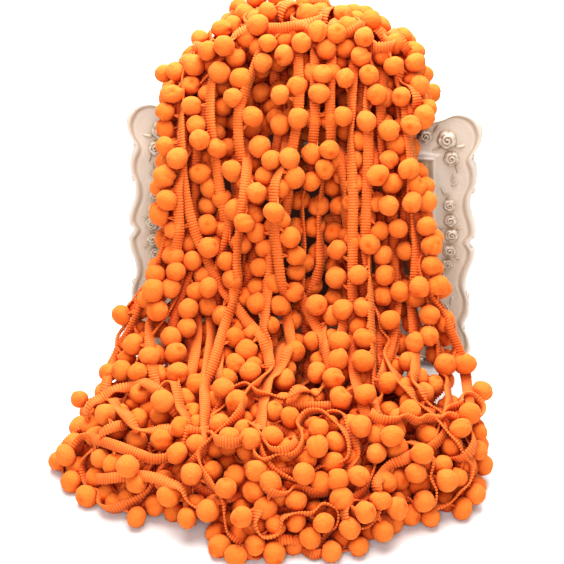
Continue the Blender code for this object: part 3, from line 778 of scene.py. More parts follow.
def shown_pass(tree, side, x_back, view_points):
    """A pass whose front is routed by the view."""
    front = np.array(seen_line(tree, view_points))
    x_crest = front[0, 0] * (1 - BACK_SHARE) + x_back * BACK_SHARE
    proud = x_back in PROUD_BACKS
    behind, inward = profile(x_crest, *BEHIND_IN)
    if proud:
        behind[:3] -= inward[:3] * np.array(PROUD)[:, None]
    behind[0, 2] += RNG.uniform(*FOOT_SPREAD)
    keep = [k for k in range(4) if behind[k, 1] > front[0, 1] + CREST_GAP]
    roll = RNG.uniform(*(PROUD_ROLL if proud else BACK_ROLL), (len(keep), 1))
    back = np.hstack([behind[keep], inward[keep] * WAY_LENGTH, roll])
    line = smooth_curve(np.vstack([back, front]), ROUTE_STEP)
    points, across, hold = laid(line, side, 2, 4, FRONT_HOLD)
    hold[points[:, 1] > BEHIND_CREST] = PROUD_HOLD if proud else BACK_HOLD
    return points, across, hold


def inner_pass(side, x_crest, at_crest, at_fall, aside):
    """A pass inside the hank, with a little waviness and twist of its own."""
    points, inward = profile(x_crest, at_crest, at_fall)
    points[5:7, 0] += aside
    points[:, 0] += RNG.normal(0, 4, len(points))
    points[0, 2] += RNG.uniform(*FOOT_SPREAD)
    points[:-1, 1] += RNG.normal(0, 2, len(points) - 1)
    roll = RNG.uniform(-70, 70, (len(points), 1))
    roll[2:5] = RNG.uniform(20, 90, (3, 1))
    line = smooth_curve(np.hstack([points, inward * WAY_LENGTH, roll]), ROUTE_STEP)
    return laid(line, side, 0, 4, INNER_HOLD)


def heap_run(tree, side, view_points):
    """A run on top of the heap or along the crest, routed by the view."""
    return laid(smooth_curve(seen_line(tree, view_points), ROUTE_STEP), side, 1, 3, RUN_HOLD)


def heap_loop(row, start, turn, sweep_turns):
    """A loose spiral of the heap, from a place nearest to the start."""
    x, y, half_x, half_y, z = row
    first = math.atan2((start[1] - y) / half_y, (start[0] - x) / half_x)
    count = max(6, int(14 * sweep_turns))
    share = np.linspace(0, 1, count)
    angle = first + turn * share * sweep_turns * 2 * math.pi
    size = 1.0 - 0.35 * share + RNG.normal(0, 0.04, count)
    heights = z + RNG.normal(0, 2.0, count)
    spiral = [x + half_x * size * np.cos(angle), y + half_y * size * np.sin(angle), heights]
    points = smooth_curve(np.stack(spiral, 1), ROUTE_STEP)
    ahead = unit(np.gradient(points, axis=0))
    lean = smoothed(RNG.normal(0, 1.2, (len(points), 3)), 9)
    outs = unit(np.array([0, 0, 0.3]) + lean)
    return points, unit(np.cross(ahead, outs)), np.full(len(points), LOOP_HOLD)


def joined(pieces):
    """One line of stations from pieces laid end to end, with free stretches between them."""
    points, across, hold = ([part] for part in pieces[0])
    for (before, _, _), piece in zip(pieces, pieces[1:]):
        start, end = before[-1], piece[0][0]
        lead = min(np.linalg.norm(end - start) * 0.5, LEAD_MOST)
        out = unit(before[-1] - before[-3])
        back = unit(piece[0][0] - piece[0][2])
        curve = smooth_curve([start, start + out * lead, end + back * lead, end], ROUTE_STEP)[1:-1]
        share = np.linspace(0, 1, len(curve) + 2)[1:-1, None]
        points.append(curve)
        across.append(unit(blend(across[-1][-1], piece[1][0], share)))
        hold.append(np.full(len(curve), JOIN_HOLD))
        for part, more in zip((points, across, hold), piece):
            part.append(more)
    ways = np.vstack(across) * WAY_LENGTH
    return resample(np.hstack([np.vstack(points), ways, np.concatenate(hold)[:, None]]), STATION)


def blend(a, b, share):
    """From a to b by a share, with a small offset so that opposite ways never cancel."""
    return a * (1 - share) + b * share + np.array([0.02, 0.03, 0.05])


def back_link(end, start):
    """The turn behind the frame from one pass's end to the next one's start."""
    middle = (end + start) / 2 + np.array([0, 4.0, -10.0])
    below = [0, 0, -3]
    points = smooth_curve(np.array([end + below, middle, start + below]), ROUTE_STEP)
    across = np.tile(unit(np.array([0.1, 0.3, -1.0])), (len(points), 1))
    return points, across, np.full(len(points), LINK_HOLD)


def pass_order(tree):
    """The passes from left to right, the inner ones dealt out evenly between those that show."""
    shown = [shown_pass(tree, *row) for row in SHOWN_PASSES]
    inner = [inner_pass(*row) for row in INNER_PASSES]
    shown.sort(key=lambda one: one[0][len(one[0]) // 2, 0])
    inner.sort(key=lambda one: one[0][4, 0])
    share = len(inner) / len(shown)
    order, taken = [], 0
    for k, one in enumerate(shown):
        until = round((k + 1) * share)
        order += [one, *inner[taken:until]]
        taken = until
    return order


def trim_route(tree):
    """Every station of the trim: points, ways to the pompoms and how firmly each is held.

    The passes run down and up in turn. Between two of them lie a loop and, while there are any, a
    run of the heap, or behind the crest a run or a ring of the crest, or else a plain turn.
    """
    order = pass_order(tree)
    runs = [heap_run(tree, *row) for row in HEAP_RUNS]
    crests = [heap_run(tree, *row) for row in CREST_RUNS]
    loops, rings = list(HEAP_LOOPS), list(CREST_LOOPS)
    pieces = [order[0]]
    for k, one in enumerate(order[1:], 1):
        end = pieces[-1][0][-1]
        if k % 2 == 0:
            start = one[0][0]
            middle_x = (end[0] + start[0]) / 2
            over = [i for i, run in enumerate(crests) if run[0][:, 0].mean() < middle_x]
            around = [row for row in rings if row[0] < middle_x]
            if over:
                pieces.append(crests.pop(over[0]))
            elif around:
                pieces.append(heap_loop(around[0], end, 1, RING_TURNS))
                rings.remove(around[0])
            else:
                pieces.append(back_link(end, start))
            pieces.append(one)
            continue
        middle = (end + one[0][-1]) / 2
        near = min(loops, key=lambda row: abs(row[0] - middle[0] * 1.1) + 0.5 * row[4])
        loops.remove(near)
        pieces.append(heap_loop(near, end, 1 if k % 4 == 1 else -1, LOOP_TURNS))
        if runs:
            gaps = [np.linalg.norm(run[0][0, :2] - middle[:2]) for run in runs]
            pieces.append(runs.pop(int(np.argmin(gaps))))
        pieces.append(tuple(part[::-1] for part in one))
    return joined(pieces)


# ---------------------------------------------------------------- the simulation

HALF_CELLS = [way for way in product((-1, 0, 1), repeat=3) if way >= (0, 0, 0)]


def near_pairs(points, reach):
    """Pairs of points that lie within reach of each other, by a grid of cells."""
    cells = np.floor(points / reach).astype(np.int64)
    cells -= cells.min(axis=0) - 1
    size = cells.max(axis=0) + 2
    keys = (cells[:, 0] * size[1] + cells[:, 1]) * size[2] + cells[:, 2]
    order = np.argsort(keys, kind="stable")
    keys = keys[order]
    index = np.arange(len(points))
    found = []
    for x, y, z in HALF_CELLS:
        shift = (x * size[1] + y) * size[2] + z
        low = index + 1 if shift == 0 else np.searchsorted(keys, keys + shift, "left")
        high = np.searchsorted(keys, keys + shift, "right")
        counts = np.maximum(high - low, 0)
        first = np.repeat(index, counts)
        starts = np.repeat(np.cumsum(counts) - counts, counts)
        second = np.arange(counts.sum()) - starts + np.repeat(low, counts)
        a, b = order[first], order[second]
        close = ((points[a] - points[b]) ** 2).sum(axis=1) < reach * reach
        found.append(np.stack([a[close], b[close]]))
    return np.hstack(found)


def slab(points, radii):
    """Pushes points out of the leaning frame, to its front, its back or over its top."""
    high = points @ FRAME_UP + FOOT_CUT
    deep = points @ FRAME_OUT + PLATE_MIDDLE
    front = FRAME_FRONT + 1.0 + radii - deep
    back = deep - (FRAME_BACK - 1.0 - radii)
    over = FRAME_HIGH + 1.0 + radii - high
    inside = (front > 0) & (back > 0) & (over > 0) & (np.abs(points[:, 0]) < FRAME_HALF + radii)
    to_front = inside & (front <= back) & (front <= over)
    to_back = inside & ~to_front & (back <= over)
    to_top = inside & ~to_front & ~to_back
    points[to_front] += FRAME_OUT * front[to_front, None]
    points[to_back] -= FRAME_OUT * back[to_back, None]
    points[to_top] += FRAME_UP * over[to_top, None]


def drawn_pompoms(tree, edge_points):
    """Which pompom of the trim each plainly seen one is, and the place that it is drawn to."""
    chosen, goals = [], []
    free = np.ones(len(edge_points), bool)
    for u, v in SEEN_POMPOMS:
        goal, _ = on_hank(tree, u, v, POMPOM_R - 1.0)
        far = np.linalg.norm(edge_points - goal, axis=1)
        far[~free] = np.inf
        best = int(np.argmin(far))
        if far[best] < SEEN_REACH:
            free[best] = False
            chosen.append(best)
            goals.append(goal)
    return np.array(chosen), np.array(goals)


def hollow_rows(tree):
    """The hollows as arrays, with the depth at which each one's mouth lies."""
    rows = np.array(HOLLOWS, float)
    mouths = np.array([on_hank(tree, u, v, 0)[0] for u, v in rows[:, :2]])
    return np.hstack([rows, seen_at(mouths)[:, 2:]])


def open_hollows(points, free, rows):
    """Which free points lie in a hollow."""
    seen = seen_at(points[free])
    back = np.zeros(len(free), bool)
    for u, v, half_u, half_v, deep, mouth in rows:
        inside = ((seen[:, 0] - u) / half_u) ** 2 + ((seen[:, 1] - v) / half_v) ** 2 < 1
        back |= inside & (seen[:, 2] < mouth + deep)
    return free[back]


def keep_within(points, some, margin):
    """Moves points that lie less than a margin (px) inside the mass's outline back within it."""
    corner = np.array(SILHOUETTE, float)
    side = np.roll(corner, -1, axis=0) - corner
    from_corner = seen_at(points[some])[:, None, :2] - corner
    share = np.clip((from_corner * side).sum(-1) / (side**2).sum(-1), 0, 1)
    gap = from_corner - side * share[..., None]
    far = np.linalg.norm(gap, axis=-1)
    rows, nearest = np.arange(len(some)), far.argmin(axis=1)
    gap, far, from_corner = (array[rows, nearest] for array in (gap, far, from_corner))
    side = side[nearest]
    turning = side[:, 0] * from_corner[:, 1] - side[:, 1] * from_corner[:, 0]
    depth = np.where(turning > 0, 1, -1) * far
    short = np.clip(margin - depth, 0, SHORT_MOST)
    inward = gap / np.maximum(far[:, None], 0.1) * np.sign(turning)[:, None]
    move = inward * short[:, None] * WITHIN_SHARE * MM_PER_PX
    low = points[some, 2] < HEAP_TOP
    points[some] += move[:, :1] * RIGHT
    on_floor = move[:, 1:] * np.array([0, 1 / BACK[2], 0])
    points[some] -= np.where(low[:, None], on_floor, move[:, 1:] * UP)


def nearest_within(far, reach):
    """Which rows have something within reach, what is nearest to each of these, and how far."""
    which = far.argmin(axis=1)
    gap = far[np.arange(len(far)), which]
    near = gap < reach
    return near, which[near], gap[near]


def clear_runs(points, balls, marks):
    """Moves pompoms aside that lie before a run which shows."""
    seen, shown = seen_at(points[balls]), seen_at(marks)
    apart = seen[:, None, :2] - shown[None, :, :2]
    far = np.linalg.norm(apart, axis=-1)
    far[seen[:, None, 2] > shown[None, :, 2] + BESIDE] = np.inf
    near, which, gap = nearest_within(far, CLEAR_REACH)
    way = apart[near, which] / np.maximum(gap[:, None], 0.5)
    step = (CLEAR_REACH - gap[:, None]) * CLEAR_SHARE
    aside = (way[:, :1] * RIGHT - way[:, 1:] * UP * 0.5) * step
    points[balls[near]] += aside - BACK * CLEAR_SINK


def clear_backs(points, balls, marks):
    """Moves pompoms aside that lie behind a run of the hank's back."""
    apart = points[balls][:, None, :] - marks[None, :, :]
    far = np.hypot(apart[:, :, 0], apart[:, :, 2])
    far[apart[:, :, 1] < -BESIDE] = np.inf
    near, which, gap = nearest_within(far, PROUD_REACH)
    side = np.sign(apart[near, which, 0] + 0.01)
    points[balls[near], 0] += side * (PROUD_REACH - gap) * PROUD_SHARE
    points[balls[near], 1] -= PROUD_SINK


def touching_pairs(points, radii, is_ball, place):
    """Pairs of points that may touch, and how far apart they then are, but none of one station."""
    a, b = near_pairs(points, 2 * POMPOM_R + 1.0)
    apart = radii[a] + radii[b]
    both_rails = ~is_ball[a] & ~is_ball[b]
    own = np.abs(place[a] - place[b]) <= np.where(both_rails, 2, 1)
    far = ((points[a] - points[b]) ** 2).sum(axis=1) > (apart + 3.0) ** 2
    keep = ~own & ~far
    return a[keep], b[keep], apart[keep]


def push_apart(points, a, b, apart):
    """Moves pairs that touch out of each other, less where a point has many of them."""
    count = len(points)
    gap = points[b] - points[a]
    now = np.linalg.norm(gap, axis=1)
    short = np.maximum(apart - now, 0)
    hit = short > 0
    move = gap[hit] / np.maximum(now[hit, None], 1e-6) * short[hit, None] * 0.5
    a, b = a[hit], b[hit]
    touched = np.bincount(a, minlength=count) + np.bincount(b, minlength=count)
    for axis in range(3):
        push = np.bincount(b, move[:, axis], count) - np.bincount(a, move[:, axis], count)
        points[:, axis] += push / np.maximum(touched * 0.6, 1.0)


def hold_apart(points, a, b, length, stiff, least=False):
    """Moves pairs of points towards a distance, or only when they are closer than it."""
    gap = points[b] - points[a]
    now = np.linalg.norm(gap, axis=1, keepdims=True)
    off = now - length
    if least:
        off = np.minimum(off, 0)
    move = gap / np.maximum(now, 1e-6) * off * 0.5 * stiff
    points[a] += move
    points[b] -= move


def keep_braid(points, index):
    """Gives the braid back its width and length, and keeps it from shearing and folding sharply."""
    count = len(index)
    lean = math.hypot(STATION, BRAID_WIDE)
    hold_apart(points, index, index + count, BRAID_WIDE, 1.0)
    for odd in (0, 1):
        i = index[odd:-1:2]
        hold_apart(points, i, i + 1, STATION, 1.0)
        hold_apart(points, i + count, i + 1 + count, STATION, 1.0)
        hold_apart(points, i, i + 1 + count, lean, SHEAR_STIFF)
        hold_apart(points, i + count, i + 1, lean, SHEAR_STIFF)
    for odd in range(4):
        i = index[odd:-2:4]
        hold_apart(points, i, i + 2, FOLD_LEAST, FOLD_STIFF, least=True)
        hold_apart(points, i + count, i + 2 + count, FOLD_LEAST, FOLD_STIFF, least=True)


def settle(tree, stations, rounds):
    """Lets the trim find its place: pompoms drop and push each other aside, the braid holds.

    The points are the braid's bare edge, its other edge and the pompoms, in this order.
    """
    line, across, hold = stations[:, :3], unit(stations[:, 3:6]), stations[:, 6]
    count = len(line)
    half = BRAID_WIDE / 2
    bare = line - across * half
    edge = line + across * half
    hooks = np.arange(1, count - 1, 2)
    tether = POMPOM_R + HANGER
    ahead = unit(np.gradient(line, axis=0))
    outward = unit(np.cross(across, ahead))
    swing = RNG.normal(0, 0.9, (len(hooks), 1))
    slip = RNG.normal(0, 0.35, (len(hooks), 1))
    ways = unit(across[hooks] + swing * outward[hooks] + slip * ahead[hooks])
    drawn, goals = drawn_pompoms(tree, edge[hooks])
    ways[drawn] = unit(goals - edge[hooks][drawn])
    points = np.vstack([bare, edge, edge[hooks] + ways * tether])
    home = points.copy()

    on_rails = np.zeros(2 * count, bool)
    is_ball = np.concatenate([on_rails, np.ones(len(hooks), bool)])
    pull = np.concatenate([hold, hold, np.zeros(len(hooks))])[:, None]
    radii = np.where(is_ball, POMPOM_R - PILE_GIVES, RAIL_R)
    index = np.arange(count)
    place = np.concatenate([index, index, hooks])
    fall = np.where(is_ball, BALL_FALL, RAIL_FALL)[:, None] * np.array([0, 0, -1.0])
    low = np.array(CAD_BOX[0]) / MM - BOX_SPARE
    high = np.array(CAD_BOX[1]) / MM + BOX_SPARE

    ball, hooked = np.arange(len(hooks)) + 2 * count, hooks + count
    loose = np.flatnonzero(hold < CLEAR_HOLD)
    loose_rails = np.concatenate([loose, loose + count])
    loose_balls = np.setdiff1d(ball, ball[drawn])
    free = np.concatenate([loose_rails, loose_balls])
    firm = np.flatnonzero(hold >= CLEAR_HOLD)
    firm = firm[seen_at(line[firm])[:, 1] > CLEAR_FROM]
    proud = np.flatnonzero((np.abs(hold - PROUD_HOLD) < 0.03) & (line[:, 1] > BACK_FROM))
    hollows = hollow_rows(tree)
    for k in range(rounds):
        if k % 6 == 0:
            pairs = touching_pairs(points, radii, is_ball, place)
        early = k <= rounds - CALM_ROUNDS
        if early:
            points += fall
        points += (home - points) * pull
        points[ball[drawn]] += (goals - points[ball[drawn]]) * DRAWN_SHARE
        if early and k % 2 == 0:
            deeper = open_hollows(points, free, hollows)
            points[deeper] -= BACK * 1.2
            home[deeper] -= BACK * 0.8
        if early and k % 3 == 0:
            middles = (points[firm] + points[firm + count]) / 2
            halfway = (middles[1:] + middles[:-1])[np.diff(firm) == 1] / 2
            clear_runs(points, loose_balls, np.vstack([middles, halfway]))
            clear_backs(points, loose_balls, (points[proud] + points[proud + count]) / 2)
            keep_within(points, loose_balls, BALL_MARGIN)
            keep_within(points, loose_rails, RAIL_MARGIN)
        push_apart(points, *pairs)
        for _ in range(3):
            keep_braid(points, index)
        gap = points[ball] - points[hooked]
        now = np.linalg.norm(gap, axis=1, keepdims=True)
        points[ball] -= gap / now * (now - tether) * 0.85
        points[hooked] += gap / now * (now - tether) * 0.15
        slab(points, radii)
        points[:, 2] = np.maximum(points[:, 2], radii)
        np.clip(points, low + radii[:, None], high - radii[:, None], out=points)
    return points[:count], points[count : 2 * count], points[ball], hooks


# ---------------------------------------------------------------- meshes


def add_mesh(name, points, faces, material, uv=None, values=None):
    """An object from arrays of points (mm) and faces, with UVs and values of its points if any."""
    mesh = bpy.data.meshes.new(name)
    sides = faces.shape[1]
    mesh.vertices.add(len(points))
    mesh.vertices.foreach_set("co", (points * MM).astype(np.float32).ravel())
    mesh.loops.add(faces.size)
    mesh.loops.foreach_set("vertex_index", faces.ravel().astype(np.int32))
    mesh.polygons.add(len(faces))
    mesh.polygons.foreach_set("loop_start", np.arange(0, faces.size, sides, dtype=np.int32))
    mesh.polygons.foreach_set("use_smooth", np.ones(len(faces), bool))
    mesh.update(calc_edges=True)
    for key, data in (values or {}).items():
        layer = mesh.attributes.new(key, "FLOAT", "POINT")
        layer.data.foreach_set("value", np.asarray(data, np.float32))
    if uv is not None:
        layer = mesh.uv_layers.new(name="UVMap")
        layer.data.foreach_set("uv", np.asarray(uv, np.float32)[faces.ravel()].ravel())
    mesh.validate()
    mesh.materials.append(material)
    obj = bpy.data.objects.new(name, mesh)
    bpy.context.scene.collection.objects.link(obj)
    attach(obj, "root")
    return obj


def merged(parts):
    """Several meshes as one: their points, faces and whatever else each has for its points."""
    points, faces, *others = zip(*parts)
    firsts = np.cumsum([0] + [len(some) for some in points[:-1]])
    all_faces = np.vstack([some + first for some, first in zip(faces, firsts)])
    return np.vstack(points), all_faces, *[np.concatenate(other) for other in others]


def ring_faces(count, corners, turned=False):
    """Indices of rings of points, and the faces between them; turned, they face the other way."""
    index = np.arange(count * corners).reshape(count, corners)
    following = np.roll(index, -1, axis=1)
    faces = np.stack([index[:-1], following[:-1], following[1:], index[1:]], -1).reshape(-1, 4)
    return index, faces[:, [0, 3, 2, 1]] if turned else faces


def along(rows, places):
    """Catmull-Rom values of rows at fractional places."""
    i = np.clip(np.floor(places).astype(int), 0, len(rows) - 2)
    a, b = rows[np.maximum(i - 1, 0)], rows[i]
    c, d = rows[i + 1], rows[np.minimum(i + 2, len(rows) - 1)]
    return spline(a, b, c, d, (places - i)[:, None])


def braid_piece(bare, edge, first, last, level):
    """Points, faces, UVs and rises of the braid between two stations, at a level of detail."""
    start, end = first * STATION, last * STATION
    phases, rises, ribs = RIB_SAMPLES[level]
    ribs_in_all = round((end - start) / (RIB * ribs))
    s = start + ((np.arange(ribs_in_all)[:, None] + np.array(phases)) * RIB * ribs).ravel()
    s, rise = np.append(s, end), np.append(np.tile(rises, ribs_in_all), rises[0])
    places = s / STATION
    low, high = along(bare, places), along(edge, places)
    centre = (low + high) / 2
    across = unit(high - low)
    ahead = unit(np.gradient(along((bare + edge) / 2, places), axis=0))
    out = unit(np.cross(across, ahead))
    half = (VALLEY_HALF + RIB_WIDER * rise)[:, None]
    thick = (VALLEY_THICK + RIB_THICKER * rise)[:, None]
    rings = np.stack([centre + across * (half * a) + out * (thick * b) for a, b in SECTION], 1)
    corners = len(SECTION)
    index, faces = ring_faces(len(s), corners)
    faces = np.vstack([faces, index[:1, ::-1], index[-1:]])
    width = np.tile([(a + 1) / 2 for a, _ in SECTION], len(s))
    uv = np.stack([width, np.repeat(s / UV_LENGTH, corners)], 1)
    return rings.reshape(-1, 3), faces, uv, np.repeat(rise, corners)


def ball_template(cuts):
    """A unit ball of square patches, as points and faces."""
    bm = bmesh.new()
    bmesh.ops.create_cube(bm, size=2.0)
    bmesh.ops.subdivide_edges(bm, edges=bm.edges, cuts=cuts - 1, use_grid_fill=True)
    bmesh.ops.recalc_face_normals(bm, faces=bm.faces)
    points = np.array([v.co[:] for v in bm.verts])
    faces = np.array([[v.index for v in f.verts] for f in bm.faces])
    bm.free()
    points = np.tan(points * math.pi / 4)
    return unit(points), faces


def lumps(directions, seeds, size):
    """Smooth lumps on a ball: a few random waves, different for each seed."""
    rng = np.random.default_rng(seeds)
    total = np.zeros(len(directions))
    for _ in range(5):
        way = unit(rng.normal(0, 1, 3))
        total += np.sin(directions @ way * rng.uniform(3, 7) + rng.uniform(0, 6.28))
    return total * size / 5


def pompom_mesh(centres, tops, cuts, seed):
    """Pompoms as points, faces and values: uneven balls of pile, some pear-shaped or creased; the
    values are a random tone and the painted shade of each tie dimple and crease.
    """
    ball, faces = ball_template(cuts)
    pole = ball[:, 2]
    rng = np.random.default_rng(seed)
    parts = []
    for k, (centre, top) in enumerate(zip(centres, tops)):
        side = unit(np.cross(top, rng.normal(0, 1, 3)))
        turn = np.stack([side, np.cross(side, top), top])
        pit = rng.choice([0.0, 0.0, 0.0, 1.0])
        tie_dimple_and_shade = np.exp(-(1 - pole) / 0.05) + pit * np.exp(-(1 + pole) / 0.04)
        size = POMPOM_R * rng.uniform(0.96, 1.08)
        radius = size * (1 + lumps(ball, seed * 7919 + k, 0.07) - 0.15 * tie_dimple_and_shade)
        radius *= 1 + 0.09 * rng.choice([0.0, 1.0]) * pole
        fold, toward = unit(rng.normal(0, 1, 3)), unit(rng.normal(0, 1, 3))
        crease = np.exp(-((ball @ fold / 0.2) ** 2)) * np.clip(ball @ toward * 2, 0, 1)
        radius *= 1 - rng.choice([0.0, 0.0, 0.10, 0.16]) * crease
        radius *= 1 + rng.normal(0, 0.011, len(ball))
        shape = np.array([rng.uniform(*ends) for ends in POMPOM_SHAPES])
        placed = centre + (ball * radius[:, None] * shape) @ turn
        placed[:, 2] = np.maximum(placed[:, 2], 0.0)
        tone = np.full(len(ball), rng.uniform(0, 1))
        # The second value is painted shade: the tie dimple and, more faintly, the crease.
        parts.append((placed, faces, tone, np.clip(tie_dimple_and_shade + 0.3 * crease, 0, 1)))
    points, faces, tone, tie_dimple_and_shade = merged(parts)
    return points, faces, {"tone": tone, "tie_dimple_and_shade": tie_dimple_and_shade}


def tubes(starts, bends, ends, radius, corners, rings):
    """Short curved tubes, each from a start by a bend to an end."""
    t = np.linspace(0, 1, rings)[None, :, None]
    line = starts[:, None] * (1 - t) ** 2 + 2 * bends[:, None] * t * (1 - t) + ends[:, None] * t**2
    ahead = unit(np.gradient(line, axis=1))
    side = unit(np.cross(ahead, [0.3, 0.5, 0.81]))
    up = np.cross(side, ahead)
    turns = 2 * np.pi * np.arange(corners) / corners
    points = (
        line[:, :, None]
        + side[:, :, None] * (radius * np.cos(turns))[None, None, :, None]
        + up[:, :, None] * (radius * np.sin(turns))[None, None, :, None]
    )
    _, faces = ring_faces(rings, corners, turned=True)
    firsts = np.arange(len(starts))[:, None, None] * rings * corners
    return points.reshape(-1, 3), (faces + firsts).reshape(-1, 4)


# ---------------------------------------------------------------- materials


def set_inputs(node, **values):
    """Sets a node's inputs; _ stands for a space in an input's name."""
    for key, value in values.items():
        node.inputs[key.replace("_", " ")].default_value = value


class Look:
    """A node material in the making, with short ways to give it textures and colours."""

    def __init__(self, name):
        self.material = bpy.data.materials.new(name)
        self.material.use_nodes = True
        self.tree = self.material.node_tree
        self.shader = self.tree.nodes["Principled BSDF"]

    def add(self, kind, **values):
        """A new node of a kind, with values for its inputs."""
        node = self.tree.nodes.new("ShaderNode" + kind)
        set_inputs(node, **values)
        return node

    def link(self, socket, node, key):
        """Joins an output to a node's input."""
        self.tree.links.new(socket, node.inputs[key])

    def surface(self, colour, **values):
        """The shader's colour, from a socket, and its plain values."""
        self.link(colour, self.shader, "Base Color")
        set_inputs(self.shader, **values)

    def place(self, kind):
        """Texture places of a kind: Object or UV."""
        return self.add("TexCoord").outputs[kind]

    def value(self, name):
        """A value of the mesh's points."""
        node = self.add("Attribute")
        node.attribute_name = name
        return node.outputs["Fac"]

    def noise(self, scale, detail):
        """A noise texture in object space."""
        node = self.add("TexNoise", Scale=scale, Detail=detail)
        self.link(self.place("Object"), node, "Vector")
        return node.outputs["Fac"]

    def mixed(self, factor, a, b):
        """A colour between two, each a socket or plain red, green and blue, by a factor socket."""
        node = self.add("Mix")
        node.data_type = "RGBA"
        self.link(factor, node, "Factor")
        for name, value in (("A", a), ("B", b)):
            target = [s for s in node.inputs if s.name == name and s.type == "RGBA"][0]
            if isinstance(value, tuple):
                target.default_value = (*value, 1)
            else:
                self.tree.links.new(value, target)
        return [s for s in node.outputs if s.type == "RGBA"][0]

    def bumps(self, *rows):
        """Bumps over each other, each from a height socket, with its strength and distance (m)."""
        normal = None
        for height, strength, distance in rows:
            node = self.add("Bump", Strength=strength, Distance=distance)
            self.link(height, node, "Height")
            if normal is not None:
                self.link(normal, node, "Normal")
            normal = node.outputs["Normal"]
        self.link(normal, self.shader, "Normal")

    def openness(self, reach, low, high, own=False):
        """How open the surface is within a reach (m), from 0 in a crevice to 1 in the open, by
        ambient occlusion: the mask of painted shade.
        """
        node = self.add("AmbientOcclusion", Distance=reach)
        node.samples, node.only_local = 6, own
        spread = self.add("MapRange", From_Min=low, From_Max=high)
        self.link(node.outputs["AO"], spread, "Value")
        return spread.outputs["Result"]

    def with_painted_shade(self, colour, reach, crevice, hollow):
        """A colour with painted shade: darker in crevices within a reach (m) and deeper in the
        mass.
        """
        shaded = self.mixed(self.openness(reach, 0.03, 0.50), crevice, colour)
        return self.mixed(self.openness(0.045, 0.02, 0.24), hollow, shaded)


def pompom_material():
    """Short cut pile: orange, a little different from one pompom to the next, soft at its edges,
    with painted shade in its tie dimples, creases and crevices and deep in the mass.
    """
    look = Look("pompom_pile")
    pile = look.noise(900, 4)
    tone = look.mixed(look.value("tone"), (0.73, 0.182, 0.035), (0.76, 0.220, 0.052))
    speckled = look.mixed(pile, (0.68, 0.154, 0.023), tone)
    # Painted shade: darker red in each pompom's tie dimple and creases.
    tie_dimple_and_shade = look.mixed(look.value("tie_dimple_and_shade"), speckled, (0.60, 0.085, 0.009))
    # Painted shade in the crevices between pompoms and deep in the mass.
    look.surface(
        look.with_painted_shade(tie_dimple_and_shade, 0.014, (0.62, 0.050, 0.002), (0.42, 0.016, 0.0005)),
        Roughness=1.0,
        Specular_IOR_Level=0.1,
        Sheen_Weight=0.18,
        Sheen_Roughness=0.45,
        Sheen_Tint=SHEEN_TINT,
    )
    look.bumps((look.noise(340, 3), 0.8, 0.0009), (pile, 0.9, 0.0006))
    return look.material


def braid_material():
    """Ribbed viscose braid: deep orange, with painted shade between its ribs, in crevices and deep
    in the mass, and faint lengthwise threads.
    """
    look = Look("ribbed_braid")
    thread = look.add("TexWave", Scale=1.9, Distortion=0.6)
    thread.wave_type, thread.bands_direction = "BANDS", "X"
    look.link(look.place("UV"), thread, "Vector")
    # Painted shade: darker red between the ribs, where the rise is low.
    ribs = look.mixed(look.value("rise"), (0.50, 0.056, 0.005), (0.73, 0.200, 0.037))
    flecked = look.mixed(look.noise(1500, 3), (0.66, 0.115, 0.014), ribs)
    raised = look.mixed(look.value("rise"), ribs, flecked)
    # Painted shade in crevices and deep in the mass.
    look.surface(
        look.with_painted_shade(raised, 0.012, (0.60, 0.047, 0.002), (0.40, 0.014, 0.0005)),
        Roughness=0.75,
        Specular_IOR_Level=0.3,
        Sheen_Weight=0.25,
        Sheen_Roughness=0.4,
        Sheen_Tint=SHEEN_TINT,
    )
    look.bumps((thread.outputs["Fac"], 0.15, 0.0002), (look.noise(2600, 3), 0.35, 0.0002))
    return look.material


def resin_material():
    """Pearly cast resin: cream with a pink cast, pebbled, tan with glaze stain and painted shade in
    its recesses, with painted shade in its crevices and under the hank.
    """
    look = Look("pearly_resin")
    clean = look.mixed(look.noise(70, 4), (0.50, 0.43, 0.365), (0.62, 0.55, 0.48))
    olive = look.mixed(look.noise(40, 2), (0.36, 0.22, 0.14), (0.34, 0.26, 0.12))
    # Tan where the relief's value for glaze and shade is high: glaze stain, and painted shade in
    # its grooves.
    glazed_and_shaded = look.mixed(look.value("glaze_and_shade"), clean, olive)
    # Painted shade: olive in the crevices of the moulding's own relief.
    relief_crevice_shade = look.mixed(look.openness(0.006, 0.35, 0.92, own=True), olive, glazed_and_shaded)
    # Painted shade: dark red-brown where the hank's mass lies close over the frame.
    look.surface(
        look.mixed(look.openness(0.05, 0.04, 0.30), (0.13, 0.020, 0.004), relief_crevice_shade),
        Roughness=0.36,
        Coat_Weight=0.35,
        Coat_Roughness=0.22,
    )
    pebbles = look.add("TexVoronoi", Scale=620)
    look.link(look.place("Object"), pebbles, "Vector")
    look.bumps((pebbles.outputs["Distance"], 0.35, 0.0004), (look.noise(240, 4), 0.3, 0.0005))
    return look.material


def plain_material(name, colour, roughness, scale, strength):
    """A plain material with a little grain."""
    look = Look(name)
    grain = look.noise(scale, 5)
    look.surface(look.mixed(grain, tuple(0.75 * c for c in colour), colour), Roughness=roughness)
    look.bumps((grain, strength, 0.0004))
    return look.material


# ---------------------------------------------------------------- the making


def shows(points, centres, view_from, own):
    """Whether each point shows from far away on this side, past all pompoms but its own."""
    way = unit(view_from)
    right = unit(np.cross(way, [0, 0, 1.0]))
    flat = np.stack([right, np.cross(right, way)])
    a, b = points @ flat.T, centres @ flat.T
    depth_a, depth_b = points @ way, centres @ way
    clear = np.ones(len(points), bool)
    for start in range(0, len(points), 500):
        rows = slice(start, start + 500)
        apart = ((a[rows, None] - b[None]) ** 2).sum(-1)
        front = depth_b[None] > depth_a[rows, None] + BESIDE
        other = own[rows, None] != np.arange(len(centres))[None]
        clear[rows] = ~((apart < HIDING_R**2) & front & other).any(1)
    return clear


